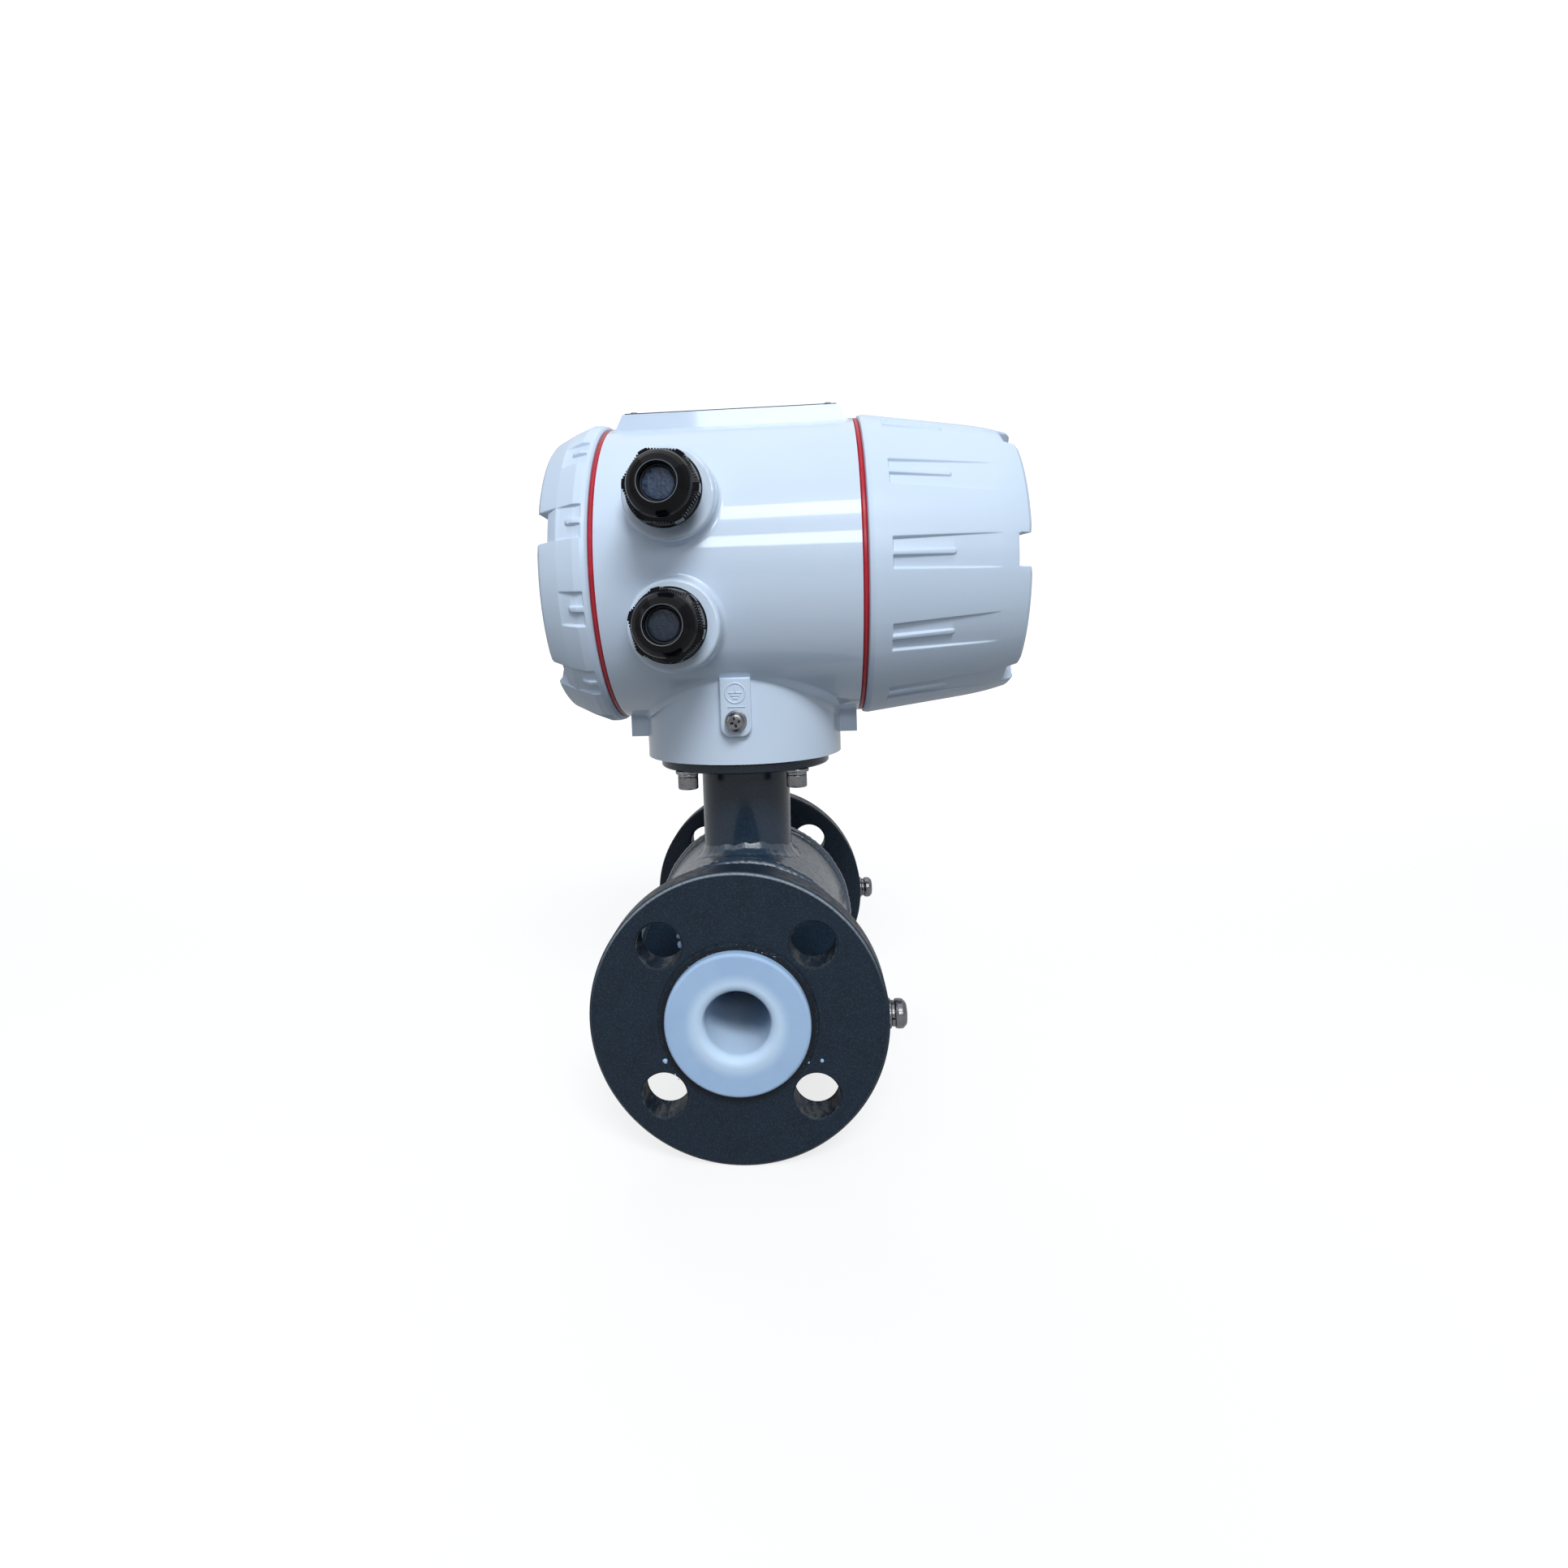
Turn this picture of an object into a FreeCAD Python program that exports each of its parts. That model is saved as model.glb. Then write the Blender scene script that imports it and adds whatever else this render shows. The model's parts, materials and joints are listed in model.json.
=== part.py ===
import FreeCAD, Part
import math
import os
import re
import Sketcher

# Electromagnetic flow meter, nominal bore 25, flanged, with a twin-compartment converter head.
# Millimetres. The pipe runs along Y and its middle is the origin, Z is up the neck,
# and the head's barrel lies along X with its long, windowed cover at +X.

SIZES = (
    # pipe, liner and flanges
    ("face_to_face", 200.0, "liner face to liner face"),
    ("bore_d", 27.0, "liner bore"),
    ("liner_wall", 2.5, "liner inside the tube"),
    ("tube_wall", 3.0, "measuring tube"),
    ("flare_d", 60.5, "flared end of the liner"),
    ("flare_len", 4.0, "thickness of the flared end"),
    ("mouth_round", 4.0, "rounding into the bore"),
    ("flange_d", 125.0, "flange"),
    ("flange_len", 14.0, "flange thickness"),
    ("flange_pcd", 90.0, "bolt circle"),
    ("flange_hole_d", 19.0, "bolt hole"),
    ("flange_holes", 4, "bolt holes"),
    ("raised_d", 67.0, "raised face"),
    ("raised_len", 1.0, "height of the raised face"),
    ("spot_x", 62.0, "flat on the rim under the earth screw, from the axis"),
    ("rim_screw_depth", 12.0, "thread in the rim"),
    # coil housing and magnet
    ("shell_d", 104.0, "coil housing"),
    ("shell_wall", 2.5, "coil housing wall"),
    ("shell_half", 42.5, "coil housing, half length"),
    ("end_plate_len", 3.0, "coil housing end plate"),
    ("bead_w", 4.0, "weld bead width"),
    ("bead_up", 1.3, "weld bead height"),
    ("coil_d", 38.0, "field coil"),
    ("coil_len", 10.0, "field coil height"),
    ("core_d", 13.0, "pole core"),
    ("shoe_wall", 3.0, "pole shoe"),
    ("shoe_half", 18.0, "pole shoe, half length"),
    ("yoke_in", 80.0, "flux return, inside"),
    ("yoke_wall", 2.5, "flux return"),
    ("yoke_half", 20.0, "flux return, half length"),
    # electrodes
    ("electrode_x", 13.6, "electrode face from the axis"),
    ("electrode_d", 8.0, "electrode head"),
    ("electrode_shank_d", 4.0, "electrode shank"),
    # neck
    ("neck_d", 45.0, "neck tube"),
    ("neck_wall", 2.5, "neck tube wall"),
    ("collar_z", 99.5, "underside of the head's collar"),
    ("neck_gasket_len", 1.5, "gasket under the collar"),
    ("neck_gasket_d", 84.0, "gasket under the collar"),
    ("neck_plate_len", 4.0, "plate on the neck"),
    ("neck_plate_d", 86.0, "plate on the neck"),
    ("neck_pcd", 75.0, "bolt circle of the neck plate"),
    ("neck_screws", 4, "screws through the neck plate"),
    # converter housing, measured from its barrel axis
    ("head_z", 191.5, "barrel axis above the pipe axis"),
    ("barrel_d", 144.5, "barrel"),
    ("barrel_half", 57.7, "barrel, half length"),
    ("barrel_bore_d", 132.0, "barrel bore"),
    ("wall_rear", -8.0, "partition, rear face"),
    ("wall_front", -4.0, "partition, front face"),
    ("collar_d", 98.6, "collar"),
    ("collar_bore_d", 62.0, "hollow in the collar"),
    ("collar_roof", 121.0, "top of the hollow in the collar"),
    ("lead_hole_d", 24.0, "opening from the collar into the barrel"),
    ("lead_hole_x", 20.0, "opening from the collar into the barrel"),
    ("pad_top", 74.5, "name plate pad above the barrel axis"),
    ("pad_shoulder", 66.5, "foot of the pad's sloping ends"),
    ("pad_foot", 60.0, "underside of the pad, inside the barrel"),
    ("pad_half_top", 51.5, "pad, half length at the top"),
    ("pad_half_foot", 55.4, "pad, half length at its foot"),
    ("pad_width", 54.0, "pad"),
    ("boss_d", 40.0, "gland boss"),
    ("boss_front", 80.0, "gland boss face from the barrel axis"),
    ("boss_root", 50.0, "gland boss root, inside the barrel"),
    ("gland_x", -23.0, "gland axis"),
    ("gland_rise", 27.6, "gland axes above and below the barrel axis"),
    ("gland_thread_d", 20.0, "thread of the gland"),
    ("gland_bore_d", 15.0, "cable opening of the gland"),
    ("gland_flats_r", 14.6, "gland body, corner of its hexagon"),
    ("disc_d", 13.5, "blanking disc"),
    ("nut_flange_r", 16.0, "gland nut, round flange"),
    ("nut_corner_r", 15.8, "gland nut, corner of its hexagon"),
    ("nut_dome_r", 13.4, "gland nut, foot of its dome"),
    ("upper_nut_roll", -5.0, "upper gland nut, turn about its axis at rest"),
    ("lower_nut_roll", -16.5, "lower gland nut, turn about its axis at rest"),
    ("lug_in", 46.5, "lock screw lug, inner side"),
    ("lug_out", 57.4, "lock screw lug, outer side"),
    ("lug_low", 82.5, "lock screw lug, below the barrel axis"),
    ("lug_half", 7.0, "lock screw lug, half width"),
    ("lock_x", 52.0, "lock screw axis"),
    ("tongue_half", 7.1, "earth tongue, half width"),
    ("tongue_top", 140.0, "earth tongue, top"),
    ("tongue_low", 112.6, "earth tongue, lower end"),
    ("tongue_front", 52.2, "earth tongue face from the neck axis"),
    ("tongue_round", 5.0, "earth tongue, lower corners"),
    ("earth_z", 120.0, "earth screw axis"),
    # covers: height along the cover's own axis, from the middle of the barrel
    ("seal_gap", 2.5, "red gasket between barrel and cover"),
    ("seal_d", 144.0, "red gasket, outside"),
    ("skirt_clear", 0.05, "radial clearance of the threaded skirt"),
    ("skirt_root", 44.0, "inner end of the skirt"),
    ("skirt_wall", 4.4, "skirt"),
    ("rear_end", 84.2, "rear cover, outer end"),
    ("front_end", 131.0, "front cover, outer end"),
    ("notch_depth", 5.0, "spanner notch in the rear cover"),
    ("front_notch_depth", 6.2, "spanner notch in the front cover"),
    ("notch_width", 14.2, "spanner notch"),
    ("notches", 6, "spanner notches"),
    ("pockets", 12, "grip pockets"),
    ("pocket_angle", 11.4, "grip pocket"),
    ("pocket_rib_angle", 2.4, "rib in a grip pocket"),
    ("rear_roll", 15.0, "rear cover, turn about its axis at rest"),
    # window and display
    ("window_d", 88.0, "window opening"),
    ("glass_d", 99.0, "window glass"),
    ("glass_len", 8.0, "window glass"),
    ("glass_back", 112.5, "inner face of the window glass"),
    ("glass_seal_len", 1.0, "seal under the glass"),
    ("retainer_len", 5.0, "window retaining ring"),
    ("panel_d", 94.0, "display panel"),
    ("panel_s", 98.0, "display panel, rear face"),
    ("panel_len", 2.0, "display panel"),
    ("screen_width", 62.0, "display screen"),
    ("screen_height", 34.0, "display screen"),
    ("key_d", 11.0, "push key"),
    ("key_pitch", 17.0, "push key spacing"),
    ("key_drop", 28.0, "push keys below the barrel axis"),
    ("board_d", 104.0, "circuit boards in the barrel"),
    ("board_len", 1.6, "circuit board"),
    ("power_board_s", 26.0, "power board, rear face"),
    ("main_board_s", 60.0, "main board, rear face"),
    ("display_board_s", 89.0, "display board, rear face"),
    ("post_d", 6.0, "stand-off"),
    ("post_pcd", 84.0, "stand-off circle"),
)
NAMES = [alias for alias, amount, note in SIZES]

doc = FreeCAD.newDocument("FlowMeter")
sheet = doc.addObject("Spreadsheet::Sheet", "Sizes")
for row, (alias, amount, note) in enumerate(SIZES, start=1):
    sheet.set(f"A{row}", alias)
    sheet.set(f"B{row}", str(amount))
    sheet.set(f"C{row}", note)
    sheet.setAlias(f"B{row}", alias)
doc.recompute()

PARTS = []


# ---------------------------------------------------------------- helpers

def bound(text):
    """The text of an expression, with the sheet's name before each of its aliases."""
    return re.sub(r"[a-z]\w*", lambda word: mark_alias(word.group(0)), str(text))


def mark_alias(word):
    return "Sizes." + word if word in NAMES else word


def size(text):
    """The value that an expression has now."""
    amount = sheet.evalExpression(bound(text))
    return float(getattr(amount, "Value", amount))


def tie(thing, name, text):
    """Binds a property to the sheet."""
    thing.setExpression(name, bound(text))


UPRIGHT = FreeCAD.Rotation()
TO_FRONT = FreeCAD.Rotation(FreeCAD.Vector(0, 1, 0), 90)
TO_REAR = FreeCAD.Rotation(FreeCAD.Vector(0, 1, 0), -90)
TO_INLET = FreeCAD.Rotation(FreeCAD.Vector(1, 0, 0), 90)
TO_OUTLET = FreeCAD.Rotation(FreeCAD.Vector(1, 0, 0), -90)
DOWNWARD = FreeCAD.Rotation(FreeCAD.Vector(1, 0, 0), 180)


def set_place(thing, turn, x, y, z):
    """Turns a piece, then moves its origin to a place given by expressions."""
    thing.Placement = FreeCAD.Placement(FreeCAD.Vector(size(x), size(y), size(z)), turn)
    for axis, text in (("x", x), ("y", y), ("z", z)):
        tie(thing, ".Placement.Base." + axis, text)


def new_body(node, turn=UPRIGHT, x="0", y="0", z="0"):
    body = doc.addObject("PartDesign::Body", node)
    body.Label = node
    set_place(body, turn, x, y, z)
    PARTS.append(body)
    return body


def origin_part(body, role):
    return [part for part in body.Origin.OriginFeatures if part.Role == role][0]


def new_sketch(body, plane, lift="0", roll=None):
    """A sketch on an origin plane, moved along its normal and rolled about its vertical."""
    sketch = body.newObject("Sketcher::SketchObject", body.Name + "_sketch")
    sketch.AttachmentSupport = (origin_part(body, plane), [""])
    sketch.MapMode = "FlatFace"
    turn = FreeCAD.Rotation(FreeCAD.Vector(0, 1, 0), size(roll or "0"))
    sketch.AttachmentOffset = FreeCAD.Placement(FreeCAD.Vector(0, 0, size(lift)), turn)
    tie(sketch, ".AttachmentOffset.Base.z", lift)
    if roll:
        tie(sketch, ".AttachmentOffset.Rotation.Angle", roll)
    return sketch


def hold(sketch, kind, item, end, amount, text):
    """A dimension from the sketch's origin to one end of an item."""
    where = sketch.addConstraint(Sketcher.Constraint(kind, -1, 1, item, end, amount))
    tie(sketch, f"Constraints[{where}]", text)


def draw_loop(sketch, corners):
    """A closed run of straight lines through corners given as pairs of expressions."""
    spots = [FreeCAD.Vector(size(x), size(y), 0) for x, y in corners]
    count = len(spots)
    first = sketch.GeometryCount
    sides = [Part.LineSegment(spots[i], spots[(i + 1) % count]) for i in range(count)]
    sketch.addGeometry(sides, False)
    joins = []
    for i in range(count):
        joins.append(Sketcher.Constraint("Coincident", first + i, 2, first + (i + 1) % count, 1))
    sketch.addConstraint(joins)
    for i, (x, y) in enumerate(corners):
        hold(sketch, "DistanceX", first + i, 1, spots[i].x, x)
        hold(sketch, "DistanceY", first + i, 1, spots[i].y, y)


def draw_circle(sketch, x, y, radius):
    centre = FreeCAD.Vector(size(x), size(y), 0)
    item = sketch.addGeometry(Part.Circle(centre, FreeCAD.Vector(0, 0, 1), size(radius)), False)
    hold(sketch, "DistanceX", item, 3, centre.x, x)
    hold(sketch, "DistanceY", item, 3, centre.y, y)
    where = sketch.addConstraint(Sketcher.Constraint("Radius", item, size(radius)))
    tie(sketch, f"Constraints[{where}]", radius)


def draw_axis(sketch, x):
    """A construction line parallel to the sketch's vertical."""
    low = FreeCAD.Vector(size(x), 0, 0)
    high = FreeCAD.Vector(size(x), 10, 0)
    item = sketch.addGeometry(Part.LineSegment(low, high), True)
    hold(sketch, "DistanceX", item, 1, low.x, x)
    hold(sketch, "DistanceX", item, 2, high.x, x)
    hold(sketch, "DistanceY", item, 1, 0.0, "0")
    hold(sketch, "DistanceY", item, 2, 10.0, "10")


def turn_about(body, kind, corners, offset=None, roll=None, angle=None):
    """Turns (radius, height) corners about the body's Z axis, or about a parallel to it."""
    sketch = new_sketch(body, "XZ_Plane", roll=roll)
    if offset:
        corners = [(f"({offset}) + ({x})", y) for x, y in corners]
    draw_loop(sketch, corners)
    if offset:
        draw_axis(sketch, offset)
    feature = body.newObject(kind, body.Name + "_turn")
    feature.Profile = sketch
    feature.ReferenceAxis = (sketch, ["Axis0"] if offset else ["V_Axis"])
    feature.Angle = 360.0
    if angle:
        feature.Midplane = True
        tie(feature, "Angle", angle)
    body.Tip = feature
    return feature


def add_turned(body, corners, offset=None):
    return turn_about(body, "PartDesign::Revolution", corners, offset)


def cut_turned(body, corners, offset=None, roll=None, angle=None):
    return turn_about(body, "PartDesign::Groove", corners, offset, roll, angle)


def extrude(body, kind, sketch, length, flip=False, both=False):
    feature = body.newObject(kind, body.Name + "_extrude")
    feature.Profile = sketch
    feature.Length = size(length)
    feature.Reversed = flip
    feature.Midplane = both
    tie(feature, "Length", length)
    body.Tip = feature
    return feature


def add_prism(body, sketch, length, flip=False, both=False):
    return extrude(body, "PartDesign::Pad", sketch, length, flip, both)


def cut_prism(body, sketch, length, flip=False, both=False):
    return extrude(body, "PartDesign::Pocket", sketch, length, flip, both)


def repeat_around(body, features, count):
    """The features again, evenly round the body's Z axis."""
    pattern = body.newObject("PartDesign::PolarPattern", body.Name + "_ring")
    pattern.Originals = features
    pattern.Axis = (origin_part(body, "Z_Axis"), [""])
    pattern.Angle = 360
    tie(pattern, "Occurrences", count)
    body.Tip = pattern
    return pattern


def repeat_along(body, features, spacing):
    """The features once more, further along the body's Y axis."""
    pattern = body.newObject("PartDesign::LinearPattern", body.Name + "_pair")
    pattern.Originals = features
    pattern.Direction = (origin_part(body, "Y_Axis"), [""])
    pattern.Length = size(spacing)
    pattern.Occurrences = 2
    tie(pattern, "Length", spacing)
    body.Tip = pattern
    return pattern


def dress_edges(body, kind, amount, wanted):
    """A fillet or chamfer on the edges for which wanted(edge) is true."""
    doc.recompute()
    base = body.Tip
    names = [f"Edge{i}" for i, edge in enumerate(base.Shape.Edges, start=1) if wanted(edge)]
    feature = body.newObject(kind, body.Name + "_edges")
    feature.Base = (base, names)
    tie(feature, "Radius" if kind.endswith("Fillet") else "Size", amount)
    body.Tip = feature
    return feature


def is_circle(edge, radius, height):
    """Whether an edge is a circle of that radius, about Z, at that height."""
    curve = edge.Curve
    if not isinstance(curve, Part.Circle):
        return False
    return abs(curve.Radius - radius) < 0.01 and abs(curve.Center.z - height) < 0.01


def ring(node, inner, outer, low, high, turn=UPRIGHT, x="0", y="0", z="0"):
    """A plain ring, or a disc where inner is 0."""
    body = new_body(node, turn, x, y, z)
    add_turned(body, [(inner, low), (outer, low), (outer, high), (inner, high)])
    return body


# ---------------------------------------------------------------- pipe and flanges

def make_liner():
    body = new_body("tube_liner", TO_INLET)
    flare = "face_to_face / 2"
    neck = "face_to_face / 2 - flare_len"
    wall = "bore_d / 2 + liner_wall"
    add_turned(body, [
        ("bore_d / 2", "-" + flare), ("flare_d / 2", "-" + flare),
        ("flare_d / 2", "-(" + neck + ")"), (wall, "-(" + neck + ")"),
        (wall, neck), ("flare_d / 2", neck), ("flare_d / 2", flare), ("bore_d / 2", flare)])
    mouth = size("bore_d / 2")
    rim = size("flare_d / 2")
    end = size(flare)
    dress_edges(body, "PartDesign::Fillet", "mouth_round",
                lambda edge: is_circle(edge, mouth, end) or is_circle(edge, mouth, -end))
    dress_edges(body, "PartDesign::Fillet", "1.4",
                lambda edge: is_circle(edge, rim, end) or is_circle(edge, rim, -end))


def make_flow_tube():
    bore = "bore_d / 2 + liner_wall"
    end = "face_to_face / 2 - flare_len"
    body = ring("flow_tube", bore, bore + " + tube_wall", "-(" + end + ")", end, TO_INLET)
    sketch = new_sketch(body, "YZ_Plane")
    draw_circle(sketch, "0", "0", "electrode_shank_d / 2 + 1.5")
    cut_prism(body, sketch, "60", both=True)


def drill_liner_for_electrodes():
    """The liner's two stepped holes for the electrodes."""
    body = [part for part in PARTS if part.Label == "tube_liner"][0]
    for radius, reach in (("electrode_d / 2", "2 * electrode_x + 3"), ("electrode_shank_d / 2 + 1.5", "40")):
        sketch = new_sketch(body, "YZ_Plane")
        draw_circle(sketch, "0", "0", radius)
        cut_prism(body, sketch, reach, both=True)


def make_flange(node, turn):
    """A flange whose raised face looks along its local +Z."""
    body = new_body(node, turn)
    face = "face_to_face / 2 - flare_len - raised_len"
    back = face + " - flange_len"
    bore = "bore_d / 2 + liner_wall + tube_wall"
    add_turned(body, [
        (bore, back), ("flange_d / 2 - 0.8", back), ("flange_d / 2", back + " + 0.8"),
        ("flange_d / 2", face + " - 1.2"), ("flange_d / 2 - 1.2", face),
        ("raised_d / 2", face), ("raised_d / 2 - 0.4", face + " + raised_len"),
        (bore, face + " + raised_len")])
    spread = "flange_pcd / 2"
    hole = cut_turned(body, [
        ("0", back + " - 1"), ("flange_hole_d / 2 + 1", back + " - 1"),
        ("flange_hole_d / 2 + 1", back), ("flange_hole_d / 2", back + " + 1"),
        ("flange_hole_d / 2", face + " - 0.8"), ("flange_hole_d / 2 + 0.8", face),
        ("flange_hole_d / 2 + 0.8", face + " + 1"), ("0", face + " + 1")],
        offset=spread, roll="45")
    repeat_around(body, [hole], "flange_holes")
    middle = face + " - flange_len / 2"
    flat = new_sketch(body, "YZ_Plane", lift="spot_x")
    draw_circle(flat, "0", middle, "6.6")
    cut_prism(body, flat, "5", flip=True)
    thread = new_sketch(body, "YZ_Plane", lift="spot_x")
    draw_circle(thread, "0", middle, "3")
    cut_prism(body, thread, "rim_screw_depth")


def make_flange_welds():
    """Fillet welds between the tube and the inner faces of the two flanges."""
    body = new_body("flange_welds", TO_INLET)
    tube = "bore_d / 2 + liner_wall + tube_wall"
    back = "face_to_face / 2 - flare_len - raised_len - flange_len"
    for sign in ("", "-"):
        add_turned(body, [(tube, f"{sign}({back} - 4.5)"), (tube + " + 4.5", f"{sign}({back})"),
                          (tube, f"{sign}({back})")])


# ---------------------------------------------------------------- coil housing and magnet

def make_coil_housing():
    half = "shell_half"
    outer = "shell_d / 2"
    body = new_body("coil_housing", TO_INLET)
    add_turned(body, [(outer + " - shell_wall", "-" + half), (outer, "-" + half),
                      (outer, half), (outer + " - shell_wall", half)])
    opening = new_sketch(body, "XZ_Plane")
    draw_circle(opening, "0", "0", "neck_d / 2 - neck_wall")
    cut_prism(body, opening, "shell_d")


def make_end_plates():
    body = new_body("housing_end_plates", TO_INLET)
    tube = "bore_d / 2 + liner_wall + tube_wall"
    edge = "shell_d / 2 - shell_wall"
    for sign in ("", "-"):
        add_turned(body, [(tube, f"{sign}shell_half"), (edge, f"{sign}shell_half"),
                          (edge, f"{sign}(shell_half - end_plate_len)"),
                          (tube, f"{sign}(shell_half - end_plate_len)")])


def make_housing_welds():
    """The raised weld beads round both ends of the coil housing."""
    body = new_body("housing_welds", TO_INLET)
    skin = "shell_d / 2"
    for sign in ("", "-"):
        out = f"{sign}(shell_half - bead_w)"
        lip = f"{sign}(shell_half + bead_up)"
        add_turned(body, [
            (skin, out), (skin + " + bead_up", f"{sign}(shell_half - bead_w * 0.7)"),
            (skin + " + bead_up", f"{sign}(shell_half)"), (skin, lip),
            (skin + " - 3", lip), (skin + " - 3", f"{sign}shell_half"), (skin, f"{sign}shell_half")])


def make_magnet():
    """Pole cores with curved shoes, the coils on them and the flux return round both."""
    tube = "bore_d / 2 + liner_wall + tube_wall"
    shoe = tube + " + shoe_wall"
    cores = new_body("pole_cores")
    for flip in (False, True):
        sketch = new_sketch(cores, "XY_Plane")
        draw_circle(sketch, "0", "0", "core_d / 2")
        add_prism(cores, sketch, "yoke_in / 2 - 0.8", flip=flip)
    around = new_sketch(cores, "XZ_Plane", lift="-shoe_half")
    draw_circle(around, "0", "0", shoe)
    add_prism(cores, around, "2 * shoe_half")
    hollow = new_sketch(cores, "XZ_Plane")
    draw_circle(hollow, "0", "0", tube + " + 0.2")
    cut_prism(cores, hollow, "4 * shoe_half", both=True)
    sides = new_sketch(cores, "XZ_Plane")
    for sign in ("", "-"):
        draw_loop(sides, [(f"{sign}9", "-15"), (f"{sign}40", "-15"), (f"{sign}40", "15"), (f"{sign}9", "15")])
    cut_prism(cores, sides, "4 * shoe_half", both=True)
    coils = new_body("field_coils")
    low = shoe + " + 1"
    for sign in ("", "-"):
        add_turned(coils, [("core_d / 2 + 0.3", f"{sign}({low})"), ("coil_d / 2", f"{sign}({low})"),
                           ("coil_d / 2", f"{sign}({low} + coil_len)"),
                           ("core_d / 2 + 0.3", f"{sign}({low} + coil_len)")])
    ring("flux_yoke", "yoke_in / 2", "yoke_in / 2 + yoke_wall", "-yoke_half", "yoke_half", TO_INLET)


def make_electrodes():
    """Two electrodes across the pipe, with insulating sleeves and nuts outside the tube."""
    face = "electrode_x"
    tube = "bore_d / 2 + liner_wall + tube_wall"
    seat = face + " + 1.5"
    body = new_body("electrodes", TO_FRONT)
    sleeves = new_body("electrode_sleeves", TO_FRONT)
    nuts = new_body("electrode_nuts", TO_FRONT)
    for sign in ("", "-"):
        add_turned(body, [("0", f"{sign}({face})"), ("electrode_d / 2", f"{sign}({face})"),
                          ("electrode_d / 2", f"{sign}({seat})"),
                          ("electrode_shank_d / 2", f"{sign}({seat})"),
                          ("electrode_shank_d / 2", f"{sign}({tube} + 11)"),
                          ("0", f"{sign}({tube} + 11)")])
        add_turned(sleeves, [("electrode_shank_d / 2", f"{sign}({seat})"),
                             ("electrode_shank_d / 2 + 1.5", f"{sign}({seat})"),
                             ("electrode_shank_d / 2 + 1.5", f"{sign}({tube} + 0.2)"),
                             ("6", f"{sign}({tube} + 0.2)"), ("6", f"{sign}({tube} + 3)"),
                             ("electrode_shank_d / 2", f"{sign}({tube} + 3)")])
        sketch = new_sketch(nuts, "XY_Plane", lift=f"{sign}({tube} + 3)")
        corners = [(f"4 * cos({step * 60} deg)", f"4 * sin({step * 60} deg)") for step in range(6)]
        draw_loop(sketch, corners)
        draw_circle(sketch, "0", "0", "electrode_shank_d / 2")
        add_prism(nuts, sketch, "3.2", flip=bool(sign))


# ---------------------------------------------------------------- neck

def make_neck_tube():
    """The neck, cut at its foot to sit on the round coil housing."""
    body = ring("neck_tube", "neck_d / 2 - neck_wall", "neck_d / 2", "shell_d / 2 - 9",
                "collar_z - neck_gasket_len - neck_plate_len")
    saddle = new_sketch(body, "XZ_Plane")
    draw_circle(saddle, "0", "0", "shell_d / 2")
    cut_prism(body, saddle, "3 * neck_d", both=True)


def make_neck_weld():
    """The weld round the neck's foot, which follows the housing."""
    body = new_body("neck_weld")
    add_turned(body, [("neck_d / 2", "shell_d / 2 - 10"), ("neck_d / 2 + 4", "shell_d / 2 - 10"),
                      ("neck_d / 2 + 4", "shell_d / 2 - 3.6"), ("neck_d / 2 + 2", "shell_d / 2 + 2"),
                      ("neck_d / 2", "shell_d / 2 + 3")])
    saddle = new_sketch(body, "XZ_Plane")
    draw_circle(saddle, "0", "0", "shell_d / 2")
    cut_prism(body, saddle, "4 * neck_d", both=True)


def make_neck_plate():
    top = "collar_z - neck_gasket_len"
    low = top + " - neck_plate_len"
    bore = "neck_d / 2 - neck_wall"
    plate = new_body("neck_plate")
    add_turned(plate, [(bore, low), ("neck_plate_d / 2 - 0.6", low), ("neck_plate_d / 2", low + " + 0.6"),
                       ("neck_plate_d / 2", top), (bore, top)])
    gasket = ring("neck_gasket", bore, "neck_gasket_d / 2", top, "collar_z")
    for body, start, reach in ((plate, low, "neck_plate_len"), (gasket, top, "neck_gasket_len")):
        hole = cut_turned(body, [("0", start + " - 1"), ("3.3", start + " - 1"),
                                 ("3.3", f"{start} + {reach} + 1"), ("0", f"{start} + {reach} + 1")],
                          offset="neck_pcd / 2", roll="45")
        repeat_around(body, [hole], "neck_screws")


def make_neck_screws():
    """Four socket-head screws M6 from below, each over a spring washer and a flat washer."""
    under = "collar_z - neck_gasket_len - neck_plate_len"
    at = "neck_pcd / 2"
    stacks = (("neck_washers", "3.2", "6", "0", "1.6"), ("neck_spring_washers", "3.1", "5", "1.6", "3.1"))
    for node, inner, outer, start, stop in stacks:
        body = new_body(node, FreeCAD.Rotation(FreeCAD.Vector(0, 0, 1), 45))
        disc = add_turned(body, [(inner, f"{under} - {start}"), (outer, f"{under} - {start}"),
                                 (outer, f"{under} - {stop}"), (inner, f"{under} - {stop}")], offset=at)
        repeat_around(body, [disc], "neck_screws")
    screws = new_body("neck_cap_screws", FreeCAD.Rotation(FreeCAD.Vector(0, 0, 1), 45))
    seat = under + " - 3.1"
    head = seat + " - 6"
    screw = add_turned(screws, [
        ("0", head + " + 3.2"), ("2.5", head + " + 3"), ("2.5", head), ("4.5", head),
        ("5", head + " + 0.5"), ("5", seat), ("2.95", seat), ("2.95", "collar_z + 11"),
        ("0", "collar_z + 11")], offset=at)
    repeat_around(screws, [screw], "neck_screws")


# ---------------------------------------------------------------- converter housing

def drill(body, plane, lift, spots, radius, depth, flip=False):
    sketch = new_sketch(body, plane, lift=lift)
    for x, y in spots:
        draw_circle(sketch, x, y, radius)
    return cut_prism(body, sketch, depth, flip=flip)


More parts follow.
